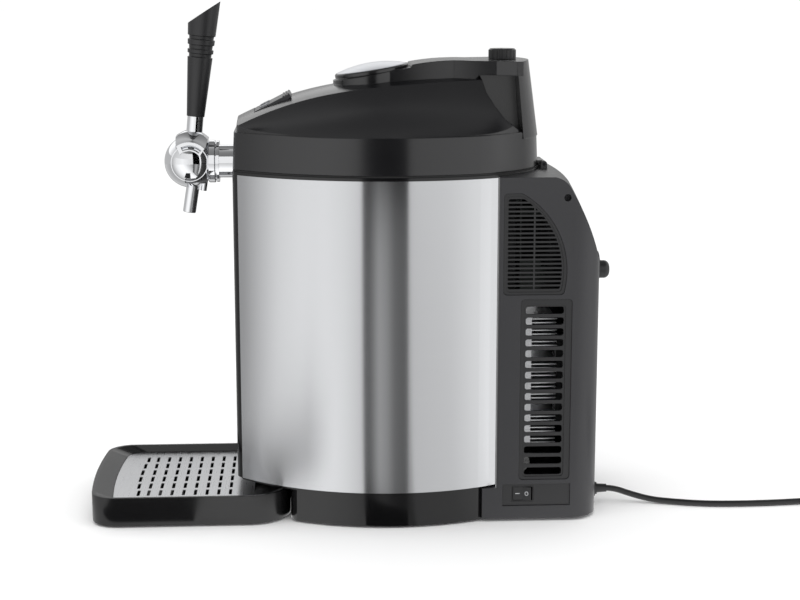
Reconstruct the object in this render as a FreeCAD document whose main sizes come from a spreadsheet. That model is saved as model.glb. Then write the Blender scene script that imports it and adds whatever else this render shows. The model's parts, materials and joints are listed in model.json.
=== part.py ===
import FreeCAD, Part
import math
import os
import re
import Sketcher
from FreeCAD import Placement, Rotation, Vector

# Counter-top beer dispenser for 5-litre party kegs, in millimetres.
# +Z is up, the tap faces -X, and the origin lies on the table under the middle
# of the standing length.  Every piece is drawn about the drum's own axis and is
# then placed axis_shift along X.

# ---------------------------------------------------------------- driving sizes
SIZES = [
    # drum: two side arcs closed by a rear arc, cut flat at the front
    ("axis_shift", 38.5, "drum axis ahead of the middle of the standing length"),
    ("drum_half_width", 114, "half of the widest part of the drum"),
    ("drum_side_radius", 212, "radius of each side arc"),
    ("drum_rear_radius", 106.2, "radius of the rear arc"),
    ("drum_front", 154, "drum axis to the flat front"),
    ("foot_height", 2, "table to the underside of the mouldings"),
    ("plinth_top", 36, "table to the bottom edge of the steel"),
    ("plinth_inset", 3.5, "plinth inside the drum outline"),
    ("plinth_front", 101.5, "drum axis to the plinth's front wall"),
    ("floor_thickness", 3, "drum floor plate"),
    ("foot_radius", 7, "rubber feet"),
    ("foot_front", 74, "drum axis to the front feet"),
    ("foot_rear", 102, "drum axis to the rear feet"),
    ("foot_spread", 58, "feet, from the middle plane"),
    ("wall", 2.5, "moulded walls"),
    ("fit_gap", 0.3, "clearance between pieces that move or are lifted out"),
    ("seat_gap", 0.15, "clearance round a piece that is pressed into its seat"),
    ("skin_height", 300, "steel skins"),
    ("skin_thickness", 0.8, "steel skins"),
    ("skin_front", 149, "drum axis to the front edge of the skins"),
    ("skin_rear", 97.6, "drum axis to the rear edge of the skins"),
    ("ring_height", 3, "top ring"),
    ("ring_ledge", 12, "width of the ledge that carries the ring on the housing"),
    ("seal_gap", 2, "top ring to lid"),
    # keg and its well
    ("keg_axis", 12, "keg axis behind the drum axis"),
    ("keg_diameter", 172, "5-litre keg"),
    ("keg_height", 252, "5-litre keg"),
    ("keg_clearance", 2.5, "keg to well wall"),
    ("well_wall", 1.2, "drawn aluminium"),
    ("well_floor", 66, "table to the inside floor of the well"),
    ("well_flange", 7, "rolled flange of the well"),
    ("pad_thickness", 2, "rubber pad in the well"),
    # rear housing
    ("housing_half_width", 96.5, "half width of the rear housing"),
    ("housing_rear", 205, "drum axis to the rear face"),
    ("housing_bow", 400, "radius of the rear face in plan"),
    ("housing_corner", 28, "rear corners in plan"),
    ("housing_top", 337, "table to the housing's top"),
    ("shoulder_start", 150, "where the top starts to fall"),
    ("shoulder_radius", 22, "first, tight part of the fall"),
    ("shoulder_knee", 164.2, "end of the tight part, along X"),
    ("shoulder_drop", 8.7, "end of the tight part, below the top"),
    ("shoulder_run", 8, "middle of the shoulder behind its two sides"),
    ("housing_edge", 2, "round front edges of the housing"),
    ("housing_foot_front", 84, "drum axis to the front of the housing's foot"),
    ("housing_rib", 10, "middle plane to the rib between the upper vents"),
    ("back_radius", 290, "long curve down the back"),
    ("back_end", 185, "height at which the long curve ends"),
    # side vents
    ("vent_thickness", 3, "vent inserts"),
    ("vent_recess", 0.8, "insert below the housing's face"),
    ("vent_field", 0.9, "slotted field below the frame of its vent"),
    ("upper_vent_front", 102.3, "front edge of the upper vent"),
    ("upper_vent_rear", 161.4, "rear edge of the upper vent"),
    ("upper_vent_low", 224.6, "lower edge of the upper vent"),
    ("upper_vent_high", 322, "upper edge of the upper vent"),
    ("upper_vent_flat", 17.5, "straight stretch of the upper edge"),
    ("upper_vent_radius", 86, "bowed rear edge"),
    ("upper_vent_frame", 4.4, "frame round the slots"),
    ("upper_vent_bead", 2.6, "width of the raised frame of the upper vent"),
    ("upper_slot_margin", 6.8, "vent's edge to the middle of the first and last slot"),
    ("upper_slot_count", 21, "slots of the upper vent"),
    ("upper_slot_height", 2.4, "slots of the upper vent"),
    ("upper_post", 131.9, "upright post across the upper slots"),
    ("upper_post_width", 1.6, "upright post"),
    ("lower_vent_front", 119.5, "front edge of the lower vent"),
    ("lower_vent_rear", 169, "rear edge of the lower vent"),
    ("lower_vent_low", 42, "lower edge of the lower vent"),
    ("lower_vent_high", 220.5, "upper edge of the lower vent"),
    ("lower_slot_front", 124.6, "front end of the lower slots"),
    ("lower_slot_rear", 161.2, "rear end of the lower slots"),
    ("lower_slot_top", 213, "top of the first lower slot"),
    ("lower_slot_pitch", 10.6, "lower slots"),
    ("lower_slot_height", 7.2, "lower slots"),
    ("lower_slot_count", 16, "lower slots"),
    ("lower_slot_corner", 2.4, "corners of the lower slots"),
    ("vent_corner", 4, "corners of the vents"),
    # cooling unit
    ("cooler_height", 129.2, "table to the middle of the cooling unit"),
    ("module_size", 40, "cooling module, square"),
    ("block_size", 62, "cold block, square"),
    ("block_depth", 25, "cold block at its middle"),
    ("module_thickness", 4, "thermoelectric module"),
    ("screw_spread", 27.3, "clamp screws, from the middle of the cooling unit"),
    ("sink_width", 100, "heatsink, across"),
    ("sink_low", 66, "table to the heatsink"),
    ("sink_high", 195, "table to the heatsink's top"),
    ("sink_base", 6, "heatsink base plate"),
    ("fin_length", 25, "heatsink fins"),
    ("fin_thickness", 1.1, "heatsink fins"),
    ("fin_pitch", 3.8, "heatsink fins"),
    ("fan_size", 92, "fan frame, square"),
    ("fan_depth", 25, "fan frame"),
    ("fan_clearance", 1.2, "fan blade tips to the frame"),
    ("fan_shaft", 1.5, "radius of the fan's stub shaft"),
    ("running_gap", 0.05, "radial clearance of a shaft in its bearing"),
    ("clamp_shaft", 1.6, "clamp screws"),
    ("fan_strut", 4, "fan struts"),
    ("fan_hub", 17, "fan hub"),
    ("fan_shaft_length", 12, "fan's stub shaft"),
    ("fan_blades", 7, "fan blades"),
    ("board_width", 116, "power board"),
    ("board_low", 206, "table to the power board"),
    ("board_high", 316, "table to the power board's top"),
    ("board_standoff", 6, "power board behind the foam"),
    ("board_thickness", 1.6, "power board"),
    # fittings and controls on the housing
    ("screw_x", 162.7, "housing screws, along X"),
    ("screw_z", 317.6, "table to the housing screws"),
    ("screw_head", 3.3, "radius of the housing screws' heads"),
    ("screw_shaft", 1.6, "radius of the housing screws' shafts"),
    ("screw_depth", 8, "housing screws' seats below the face"),
    ("screw_length", 8, "housing screws' shafts"),
    ("intake_half_width", 38, "intake slots in the back"),
    ("intake_low", 70, "table to the lowest intake slot"),
    ("intake_slot", 4, "intake slots, height"),
    ("intake_pitch", 9, "intake slots"),
    ("intake_count", 13, "intake slots"),
    ("switch_plate_front", 104, "switch plate"),
    ("switch_plate_rear", 170, "switch plate"),
    ("switch_plate_low", 15.9, "switch plate"),
    ("switch_plate_high", 37.8, "switch plate"),
    ("rocker_middle", 123.7, "rocker switch, along X"),
    ("rocker_length", 19, "rocker switch, along X"),
    ("rocker_height", 13, "rocker switch, upright"),
    ("rocker_height_middle", 27.8, "table to the rocker's middle"),
    ("dial_height", 232.5, "table to the temperature dial"),
    ("dial_radius", 9, "temperature dial"),
    ("dial_end", 221, "drum axis to the tip of the dial"),
    ("boss_radius", 15.5, "boss behind the dial"),
    ("boss_face", 209.5, "drum axis to the face of the boss"),
    ("boss_lift", 3, "boss centre above the dial"),
    ("boss_start", 188, "inner end of the boss"),
    ("shaft_radius", 3, "dial shaft"),
    ("thermostat_depth", 14, "thermostat body"),
    ("switch_depth", 20, "switch body"),
    ("rocker_depth", 4.5, "rocker, from its pivot inwards"),
    ("rocker_rise", 4.6, "rocker, from its pivot to its raised ends"),
    ("rocker_pin", 1, "rocker's pins"),
    ("rocker_pivot", 91.2, "middle plane to the rocker's pivot"),
    ("rocker_swing", 13, "rocker, from one side to the other, degrees"),
    # lid
    ("lid_foot_inset", 0.4, "lid inside the drum outline at its foot"),
    ("lid_draft", 0.045, "lean of the lid's band"),
    ("band_height", 34, "lid foot to the band's crease"),
    ("lid_wall", 3.2, "lid walls"),
    ("crest_rise_a", 35.5, "crest edge above the lid's foot, at the front"),
    ("crest_rise_b", 52.6, "crest edge, second station"),
    ("crest_rise_c", 68, "crest edge, third station"),
    ("crest_rise_d", 76.2, "crest edge, fourth station"),
    ("crest_rise_e", 80.8, "crest edge, fifth station"),
    ("crest_rise_f", 84, "crest edge, sixth station"),
    ("crest_rise_g", 86.5, "crest edge above the lid's foot, at the rear"),
    ("crest_half_width", 50, "half width of the crest between its two edges"),
    ("crest_crown", 6, "crest middle above its edges"),
    ("scoop_depth", 7, "hollow of the lid's scooped flanks"),
    ("grip_start", 84, "where the flanks end and the grip pockets start"),
    ("grip_end", 124, "foot of the flanks' rear edge"),
    ("grip_top", 429.5, "underside of the deck"),
    ("lid_step", 2.5, "upper part of the lid, inside the band"),
    ("core_half_width", 30, "block between the two grip pockets"),
    ("deck_top", 443, "table to the deck"),
    ("ridge_half_width", 34, "ridge from the badge to the deck"),
    ("tail_lean", 9.2, "lean of the lid's rear wall"),
    ("tail_inset", 1.5, "lid's rear wall inside the drum outline"),
    # badge
    ("badge_axis", -18.4, "badge centre, along X"),
    ("badge_height", 434.2, "badge rim plane at its centre"),
    ("badge_tilt", 9.1, "badge slope, degrees"),
    ("badge_radius", 36.3, "badge carrier"),
    ("badge_rim", 2, "carrier round the disc"),
    ("badge_thickness", 4, "badge carrier"),
    ("badge_dome", 5.4, "rise of the disc"),
    # control panel
    ("panel_axis", -115.6, "control panel centre, along X"),
    ("panel_height", 403, "control panel top at its centre"),
    ("panel_tilt", 26.9, "control panel slope, degrees"),
    ("panel_length", 38.5, "control panel, up the slope"),
    ("panel_width", 58, "control panel, across"),
    ("panel_thickness", 4, "control panel"),
    ("button_radius", 5, "panel buttons"),
    ("button_spread", 17, "panel buttons, from the middle"),
    # gas regulator
    ("button_axis", -8, "panel buttons, from the panel's middle down the slope"),
    ("lens_front", -14, "display lens, along the slope"),
    ("lens_rear", -3, "display lens, along the slope"),
    ("lens_half_width", 9, "display lens"),
    ("lens_thickness", 1.2, "display lens"),
    ("badge_seat", 2.4, "disc's seat below the rim"),
    ("gas_knob_axis", 110.3, "regulator knob, along X"),
    ("gas_knob_radius", 13.5, "regulator knob"),
    ("gas_knob_height", 10.2, "regulator knob"),
    ("regulator_radius", 11, "regulator body"),
    ("cartridge_radius", 10.9, "16-gram gas cartridge"),
    ("cartridge_length", 89, "16-gram gas cartridge"),
    ("regulator_low", 384, "table to the underside of the regulator"),
    ("regulator_neck", 6, "regulator's threaded neck"),
    ("cartridge_start", 10, "drum axis to the cartridge's round end"),
    ("cartridge_height", 392, "table to the cartridge's axis"),
    ("board_front", -128, "control board, along X"),
    ("board_rear", -82, "control board, along X"),
    ("control_board_low", 370, "table to the control board"),
    # hinge
    ("hinge_axis", 150.5, "hinge pin, along X"),
    ("hinge_height", 341.2, "table to the hinge pin"),
    ("pin_radius", 1.5, "hinge pin"),
    ("knuckle_radius", 3.2, "hinge knuckles"),
    ("knuckle_half_width", 14, "lid's knuckle, half its width"),
    ("ear_width", 6, "ears of the hinge bracket"),
    # tap
    ("tap_axis", -196.4, "tap ball centre, along X"),
    ("tap_height", 344, "table to the tap ball's centre"),
    ("ball_radius", 25.5, "tap ball"),
    ("ball_flat", 18, "ball centre to each side flat"),
    ("cap_radius", 17.2, "end discs of the valve spindle"),
    ("spindle_radius", 6, "valve spindle"),
    ("tube_radius", 16, "sleeve through the front"),
    ("tube_start", 167.9, "drum axis to the sleeve's outer end"),
    ("tube_end", 140, "drum axis to the sleeve's inner end"),
    ("collar_radius", 20.8, "collar behind the ball"),
    ("collar_end", 178.6, "drum axis to the collar's outer end"),
    ("line_radius", 4, "beer line"),
    ("line_bore", 2.5, "beer line's bore"),
    ("arm_half_width", 9, "tap arm"),
    ("arm_height", 11.5, "tap arm"),
    ("coupler_radius", 15, "keg coupler"),
    ("coupler_low", 325, "table to the coupler's mouth"),
    ("coupler_bore", 5, "coupler's bore for the keg's riser"),
    ("lever_tilt", 5.6, "lever at rest, leaning to the drum, degrees"),
    ("lever_offset", 1.5, "lever axis beside the ball's centre"),
    ("yoke_half_width", 23, "yoke over the ball"),
    ("yoke_height", 29.6, "ball centre to the yoke's flat top"),
    ("stem_radius", 7.85, "lever stem"),
    ("grip_foot", 44.6, "ball centre to the handle's foot"),
    ("grip_foot_radius", 8.65, "handle's foot"),
    ("grip_taper", 3.5, "handle's half angle, degrees"),
    ("grip_length", 113, "handle to its tip"),
    ("grip_cut", 38.3, "slope of the handle's cut end, degrees"),
    ("grip_groove_depth", 1.4, "handle grooves"),
    ("spout_tilt", 9.3, "spout, degrees"),
    ("spout_radius", 6.4, "spout"),
    ("spout_bore", 4.4, "spout's bore"),
    ("spout_offset", 1.6, "spout's axis behind the ball's centre, at its top"),
    ("spout_reach", 25.5, "ball centre to the spout's top"),
    ("yoke_sphere", 31, "outer ball surface of the yoke"),
    ("spout_length", 50.5, "ball centre to the spout's end"),
    # drip tray
    ("tray_front", 298, "drum axis to the tray's front"),
    ("tray_rear", 102, "drum axis to the tray's rear wall"),
    ("tray_half_width", 95, "half width of the tray"),
    ("tray_top", 30, "table to the tray's rim"),
    ("tray_bow", 3, "rise of the tray's bowed front"),
    ("tray_corner", 26, "front corners of the tray"),
    ("tray_rear_corner", 40, "rear corners of the tray"),
    ("tray_rim", 3, "flat rim"),
    ("plate_front", 277.8, "drum axis to the drip plate's front edge"),
    ("plate_rear", 137.5, "drum axis to the drip plate's rear edge"),
    ("plate_half_width", 89, "half width of the drip plate"),
    ("plate_top", 23.4, "table to the drip plate's face"),
    ("plate_thickness", 1, "drip plate"),
    ("plate_bow", 713, "radius of the drip plate's front edge"),
    ("plate_corner", 20, "front corners of the drip plate"),
    ("rib_start", 144, "drum axis to the front of the rib under the plate"),
    ("rib_width", 6, "rib under the rear of the plate"),
    ("plate_ledge", 5, "ledge under the drip plate"),
    ("slot_columns", 8, "straight columns of slots"),
    ("slot_row_pitch", 23.3, "slots across the drip plate"),
    ("slot_column_pitch", 11.45, "slots along the drip plate"),
    ("slot_length", 17.4, "drip slots"),
    ("slot_width", 3.1, "drip slots"),
    ("last_column", 161, "drum axis to the rear column of slots"),
    ("tongue_half_width", 30, "tray's tongue"),
    ("tongue_length", 14, "tray's tongue"),
    ("tongue_low", 8, "table to the underside of the tongue"),
    ("tongue_high", 13, "table to the top of the tongue"),
    # mains lead
    ("cord_radius", 3, "mains lead"),
    ("coil_radius", 33, "middle of the coil's turns"),
    ("coil_band", 16, "width and height of the coil's turns"),
    ("gland_length", 12, "strain relief behind the housing"),
    ("gland_side", -40, "strain relief, along Y"),
    ("gland_height", 15, "table to the strain relief"),
    ("gland_neck", 4.6, "strain relief in the wall"),
    ("coil_axis", 478, "drum axis to the coil's middle"),
    ("coil_side", -95, "coil's middle, along Y"),
    ("plug_radius", 18.5, "mains plug"),
    ("plug_length", 42, "mains plug body"),
]

# ------------------------------------------------- sizes that follow from others
FOLLOWS = {
    # drum outline: centres of its arcs, shared by every inset of the outline
    "side_offset": "drum_side_radius - drum_half_width",
    "arc_distance": "drum_side_radius - drum_rear_radius",
    "rear_centre": "sqrt(arc_distance ^ 2 - side_offset ^ 2)",
    "skin_top": "plinth_top + skin_height",
    "ring_top": "skin_top + ring_height",
    "lid_foot": "ring_top + seal_gap",
    "band_top": "lid_foot + band_height",
    "well_radius": "keg_diameter / 2 + keg_clearance",
    "well_outer": "well_radius + well_wall",
    "flange_top": "skin_top",
    "foam_top": "skin_top - well_wall - fit_gap",
    # housing outline
    "bow_centre": "housing_rear - housing_bow",
    "corner_side": "housing_half_width - housing_corner",
    "corner_centre": "bow_centre + sqrt((housing_bow - housing_corner) ^ 2 - corner_side ^ 2)",
    # cooling unit, stacked from the well outwards
    "block_start": "keg_axis + well_outer",
    "foam_rear": "block_start + 15",
    "block_end": "block_start + block_depth",
    "sink_start": "block_end + module_thickness",
    "fin_start": "sink_start + sink_base",
    "fin_end": "fin_start + fin_length",
    "fan_end": "fin_end + fan_depth",
    "fan_bore": "fan_size / 2 - 2.5",
    "fan_height": "(sink_low + sink_high) / 2",
    "housing_inside": "housing_half_width - wall",
    "gland_face": "bow_centre + sqrt(housing_bow ^ 2 - gland_side ^ 2) + 1",
    "vent_face": "housing_half_width - vent_recess",
    # hinge, tap and lever
    "notch_radius": "tube_radius + fit_gap",
    "arm_low": "ring_top",
    "liner_low": "arm_low + arm_height + 2",
    "line_reach": "keg_axis - coupler_radius / 2 - tap_axis",
    "gland_tip": "gland_face + gland_length",
    "cord_low": "cord_radius + 0.1",
    # tray
    "plate_low": "plate_top - plate_thickness",
}

doc = FreeCAD.newDocument("beer_dispenser")
sheet = doc.addObject("Spreadsheet::Sheet", "sizes")
for row, (alias, number, note) in enumerate(SIZES, start=1):
    sheet.set(f"A{row}", note)
    sheet.set(f"B{row}", str(number))
    sheet.setAlias(f"B{row}", alias)
doc.recompute()
ALIASES = {alias for alias, number, note in SIZES}


# ------------------------------------------------------------- expression helpers
def linked(text):
    """Write an expression over size names as one over the sheet's cells."""
    def swap(match):
        word = match.group(0)
        if word in FOLLOWS:
            return "(" + linked(FOLLOWS[word]) + ")"
        return "sizes." + word if word in ALIASES else word
    return re.sub(r"[a-z_]+", swap, str(text))


def size(text):
    """Value of an expression over size names."""
    return float(sheet.evalExpression(linked(text)))


def bind(target, prop, text):
    """Tie a property to the sheet."""
    target.setExpression(prop, linked(text))


def plus(*terms):
    """Sum of expressions, each kept whole."""
    return " + ".join(f"({term})" for term in terms)


def minus(first, second):
    return f"({first}) - ({second})"


# ----------------------------------------------------------------- sketch outlines
# An outline is a list of corners (x, y) or (x, y, radius).  A radius bends the edge
# to the next corner: positive turns left on the way round, negative turns right.
def arc_centre(start, end, radius):
    """Centre of the short arc between two points."""
    chord = end.sub(start)
    half = chord.Length / 2
    rise = math.sqrt(max(radius * radius - half * half, 0.0))
    left = Vector(-chord.y, chord.x, 0).normalize()
    side = 1 if radius > 0 else -1
    return (start + end) * 0.5 + left * rise * side


def draw_outline(sketch, outline):
    """Add one closed outline, each corner held by distances bound to the sheet."""
    corners = [Vector(size(corner[0]), size(corner[1]), 0) for corner in outline]
    first = sketch.GeometryCount
    ends = []
    for index, corner in enumerate(outline):
        start, end = corners[index], corners[(index + 1) % len(corners)]
        if len(corner) < 3:
            sketch.addGeometry(Part.LineSegment(start, end), False)
            ends.append((1, 2))
            continue
        radius = size(corner[2])
        centre = arc_centre(start, end, radius)
        angles = [math.atan2(point.y - centre.y, point.x - centre.x) for point in (start, end)]
        if radius < 0:
            angles.reverse()
        circle = Part.Circle(centre, Vector(0, 0, 1), abs(radius))
        sketch.addGeometry(Part.ArcOfCircle(circle, *angles), False)
        ends.append((1, 2) if radius > 0 else (2, 1))
    for index, corner in enumerate(outline):
        edge, following = first + index, first + (index + 1) % len(outline)
        start_mark, end_mark = ends[index]
        next_mark = ends[(index + 1) % len(outline)][0]
        sketch.addConstraint(Sketcher.Constraint("Coincident", edge, end_mark, following, next_mark))
        hold(sketch, "DistanceX", edge, start_mark, corners[index].x, corner[0])
        hold(sketch, "DistanceY", edge, start_mark, corners[index].y, corner[1])
        if len(corner) > 2:
            radius = size(corner[2])
            number = sketch.addConstraint(Sketcher.Constraint("Radius", edge, abs(radius)))
            text = corner[2] if radius > 0 else f"-({corner[2]})"
            sketch.setExpression(f"Constraints[{number}]", linked(text))


def hold(sketch, kind, edge, mark, number, text):
    """One signed distance from the sketch's origin, bound to the sheet."""
    added = sketch.addConstraint(Sketcher.Constraint(kind, edge, mark, number))
    sketch.setExpression(f"Constraints[{added}]", linked(text))


def draw_circle(sketch, x, y, radius):
    """Add a circle held by its centre and radius."""
    centre = Vector(size(x), size(y), 0)
    edge = sketch.addGeometry(Part.Circle(centre, Vector(0, 0, 1), size(radius)), False)
    hold(sketch, "DistanceX", edge, 3, centre.x, x)
    hold(sketch, "DistanceY", edge, 3, centre.y, y)
    added = sketch.addConstraint(Sketcher.Constraint("Radius", edge, size(radius)))
    sketch.setExpression(f"Constraints[{added}]", linked(radius))


def rectangle(x0, y0, x1, y1):
    return [(x0, y0), (x1, y0), (x1, y1), (x0, y1)]


def band(x0, x1, half):
    """Rectangle from x0 to x1, centred on the other axis."""
    return rectangle(x0, f"-({half})", x1, half)


def rounded(x0, y0, x1, y1, corner):
    """Rectangle with four equal round corners."""
    left, right = plus(x0, corner), minus(x1, corner)
    low, high = plus(y0, corner), minus(y1, corner)
    return [(left, y0), (right, y0, corner), (x1, low), (x1, high, corner),
            (right, y1), (left, y1, corner), (x0, high), (x0, low, corner)]


# ----------------------------------------------------------------------- pieces
PLANES = {"XY": ("XY_Plane", 1), "XZ": ("XZ_Plane", -1), "YZ": ("YZ_Plane", 1)}
kept = {}
cuts = []


def keep(thing, label, spin=None, at=None):
    """Name a finished piece and place it; spin turns it about Y at the given point."""
    thing.Label = label
    base = Vector(size("axis_shift"), 0, 0)
    if at is not None:
        base = base + Vector(size(at[0]), size(at[1]), size(at[2]))
    turn = Rotation(Vector(0, 1, 0), size(spin) if spin is not None else 0)
    thing.Placement = Placement(base, turn)
    kept[label] = thing
    return thing


class Piece:
    """One PartDesign body, drawn in planes at a level and grown along +X, +Y or +Z."""

    def __init__(self, name):
        self.body = doc.addObject("PartDesign::Body", name)
        self.body.AllowCompound = True
        self.count = 0

    def sketch(self, plane, level, *outlines):
        role, sign = PLANES[plane]
        self.count += 1
        sketch = self.body.newObject("Sketcher::SketchObject", f"{self.body.Name}_s{self.count}")
        base = [part for part in self.body.Origin.OriginFeatures if part.Role == role][0]
        sketch.AttachmentSupport = [(base, "")]
        sketch.MapMode = "FlatFace"
        bind(sketch, ".AttachmentOffset.Base.z", f"{sign} * ({level})")
        for outline in outlines:
            if outline[0] == "circle":
                draw_circle(sketch, *outline[1:])
            else:
                draw_outline(sketch, outline)
        return sketch

    def feature(self, kind, sketch):
        self.count += 1
        made = self.body.newObject(f"PartDesign::{kind}", f"{self.body.Name}_f{self.count}")
        made.Profile = sketch
        if kind in ("Pocket", "Groove", "SubtractiveLoft"):
            cuts.append((self.body, made))
        return made

    def pad(self, plane, level, length, *outlines):
        made = self.feature("Pad", self.sketch(plane, level, *outlines))
        bind(made, "Length", length)
        made.Reversed = PLANES[plane][1] < 0
        return made

    def slab(self, plane, half, *outlines):
        """Pad the same distance to each side of a base plane."""
        return self.pad(plane, f"-({half})", f"2 * ({half})", *outlines)

    def pocket(self, plane, level, length, *outlines):
        made = self.feature("Pocket", self.sketch(plane, level, *outlines))
        bind(made, "Length", length)
        made.Reversed = PLANES[plane][1] > 0
        return made

    def slot(self, plane, half, *outlines):
        """Pocket the same distance to each side of a base plane."""
        return self.pocket(plane, f"-({half})", f"2 * ({half})", *outlines)

    def turned(self, kind, plane, outline, axis="V_Axis"):
        made = self.feature(kind, self.sketch(plane, "0", outline))
        made.ReferenceAxis = (made.Profile[0], [axis])
        made.Angle = 360
        return made

    def revolve(self, outline, plane="XZ", axis="V_Axis"):
        return self.turned("Revolution", plane, outline, axis)

    def groove(self, outline, plane="XZ", axis="V_Axis"):
        return self.turned("Groove", plane, outline, axis)

    def loft(self, sections, ruled=True, cut=False):
        """Skin over sketches given as (plane, level, outline)."""
        sketches = [self.sketch(*section) for section in sections]
        made = self.feature("SubtractiveLoft" if cut else "AdditiveLoft", sketches[0])
        made.Sections = sketches[1:]
        made.Ruled = ruled
        return made

    def row(self, feature, direction, pitch, count):
        """Repeat a feature in a line along one of its sketch's axes."""
        self.count += 1
        made = self.body.newObject("PartDesign::LinearPattern", f"{self.body.Name}_f{self.count}")
        made.Originals = [feature]
        made.Direction = (feature.Profile[0], [direction])
        made.Mode = "Spacing"
        bind(made, "Offset", pitch)
        bind(made, "Occurrences", count)
        self.body.Tip = made
        return made

    def ring(self, feature, count):
        """Repeat a feature round the axis normal to its sketch."""
        self.count += 1
        made = self.body.newObject("PartDesign::PolarPattern", f"{self.body.Name}_f{self.count}")
        made.Originals = [feature]
        made.Axis = (feature.Profile[0], ["N_Axis"])
        made.Angle = 360
        bind(made, "Occurrences", count)
        self.body.Tip = made
        return made

    def keep(self, label, spin=None, at=None):
        return keep(self.body, label, spin, at)


def boolean(kind, name, *things):
    """Part boolean of bodies or other booleans; Cut takes a base and its tools."""
    things = [thing.body if isinstance(thing, Piece) else thing for thing in things]
    if kind == "Cut":
        made = things[0]
        for index, tool in enumerate(things[1:]):
            base = made
            made = doc.addObject("Part::Cut", f"{name}_c{index}")
            made.Base, made.Tool = base, tool
        return made
    made = doc.addObject(f"Part::{kind}", name)
    if kind == "MultiFuse":
        made.Shapes = things
    else:
        made.Base, made.Tool = things
    return made


def mirrored(source, label):
    """The same piece on the other side of the middle plane."""
    made = doc.addObject("Part::Mirroring", label)
    made.Source = source
    made.Normal = Vector(0, 1, 0)
    made.Label = label
    kept[label] = made
    return made


def cylinder(name, radius, height, x, y, z, axis="Z"):
    made = doc.addObject("Part::Cylinder", name)
    bind(made, "Radius", radius)
    bind(made, "Height", height)
    turns = {"X": Rotation(Vector(0, 1, 0), 90), "Y": Rotation(Vector(1, 0, 0), -90)}
    made.Placement = Placement(Vector(0, 0, 0), turns.get(axis, Rotation()))
    for prop, text in (("x", x), ("y", y), ("z", z)):
        bind(made, f".Placement.Base.{prop}", text)
    return made


# ------------------------------------------------------------ shared plan outlines
def side_y(x, inset="0"):
    """Half width of the drum on its side arc at x."""
    return f"sqrt((drum_side_radius - ({inset})) ^ 2 - ({x}) ^ 2) - side_offset"


def rear_y(x, inset="0"):
    """Half width of the drum on its rear arc at x."""
    return f"sqrt((drum_rear_radius - ({inset})) ^ 2 - (({x}) - rear_centre) ^ 2)"


def tangent(inset="0"):
    """Point at which the side arc runs into the rear arc."""
    radius = f"(drum_side_radius - ({inset}))"
    return (f"{radius} * rear_centre / arc_distance",
            f"{radius} * side_offset / arc_distance - side_offset")


def drum(inset="0", front=None, soften="5"):
    """The drum's plan, drawn in by an inset, with its front corners softened."""
    front = front or f"-(drum_front - ({inset}))"
    edge = side_y(front, inset)
    turn = f"({front}) + 0.75 * ({soften})"
    shoulder = side_y(turn, inset)
    x, y = tangent(inset)
    side, rear = f"drum_side_radius - ({inset})", f"drum_rear_radius - ({inset})"
    tip = f"rear_centre + drum_rear_radius - ({inset})"
    bend = f"2.2 * ({soften})"
    return [(front, f"-({edge} - ({soften}))", bend), (turn, f"-({shoulder})", side),
            (x, f"-({y})", rear), (tip, "0", rear), (x, y, side),
            (turn, shoulder, bend), (front, f"{edge} - ({soften})")]


def housing(inset="0", front="skin_rear"):
    """The rear housing's plan, drawn in by an inset."""
    half = f"housing_half_width - ({inset})"
    corner, bow = f"housing_corner - ({inset})", f"housing_bow - ({inset})"
    reach = "(housing_bow - housing_corner)"
    x = f"bow_centre + ({bow}) * (corner_centre - bow_centre) / {reach}"
    y = f"({bow}) * corner_side / {reach}"
    edge, turn = f"{half} - housing_edge", f"{front} + housing_edge"
    return [(front, f"-({edge})", "housing_edge"), (turn, f"-({half})"),
            ("corner_centre", f"-({half})", corner), (x, f"-({y})", bow), (x, y, corner),
            ("corner_centre", half), (turn, half, "housing_edge"), (front, edge)]


def back_curve(inset="0", run="0"):
    """Side view of what the fall of the housing's back takes away."""
    x0, x1 = f"shoulder_start + {run} - ({inset}) / 2", f"shoulder_knee + {run} - ({inset}) * 0.8"
    x2 = f"housing_rear + 1 - ({inset})"
    top = f"housing_top - ({inset})"
    z1 = f"housing_top - shoulder_drop - ({inset}) * 0.6"
    return [(x0, top, f"-(shoulder_radius - ({inset}))"), (x1, z1, f"-(back_radius - ({inset}))"),
            (x2, "back_end"), ("housing_rear + 40", "back_end"),
            ("housing_rear + 40", "housing_top + 20"), (x0, "housing_top + 20")]


def back_sections(reach, inset="0"):
    """The fall of the back at both sides and, further back, at the middle plane."""
    return [("XZ", f"-({reach})", back_curve(inset)), ("XZ", "0", back_curve(inset, "shoulder_run")),
            ("XZ", reach, back_curve(inset))]


def upper_vent(inset="0"):
    """Side view of the upper vent, drawn in by an inset: its rear edge is a bow."""
    x0, x1 = f"upper_vent_front + ({inset})", f"upper_vent_rear - ({inset})"
    z0, z1 = f"upper_vent_low + ({inset})", f"upper_vent_high - ({inset})"
    corner = "vent_corner"
    return [(plus(x0, corner), z0), (minus(x1, corner), z0, corner),
            (x1, plus(z0, corner), f"upper_vent_radius - ({inset})"),
            ("upper_vent_front + upper_vent_flat", z1), (plus(x0, corner), z1, corner),
            (x0, minus(z1, corner)), (x0, plus(z0, corner), corner)]


def lower_vent(inset="0"):
    """Side view of the lower vent, drawn in by an inset."""
    return rounded(f"lower_vent_front + ({inset})", f"lower_vent_low + ({inset})",
                   f"lower_vent_rear - ({inset})", f"lower_vent_high - ({inset})", "vent_corner")


def put(thing, x, y, z, spin="0", axis="Y"):
    """Place a tool or a piece, turned about the named axis."""
    body = thing.body if isinstance(thing, Piece) else thing
    turn = {"X": Vector(1, 0, 0), "Y": Vector(0, 1, 0), "Z": Vector(0, 0, 1)}[axis]
    body.Placement = Placement(Vector(size(x), size(y), size(z)), Rotation(turn, size(spin)))
    return thing


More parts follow.
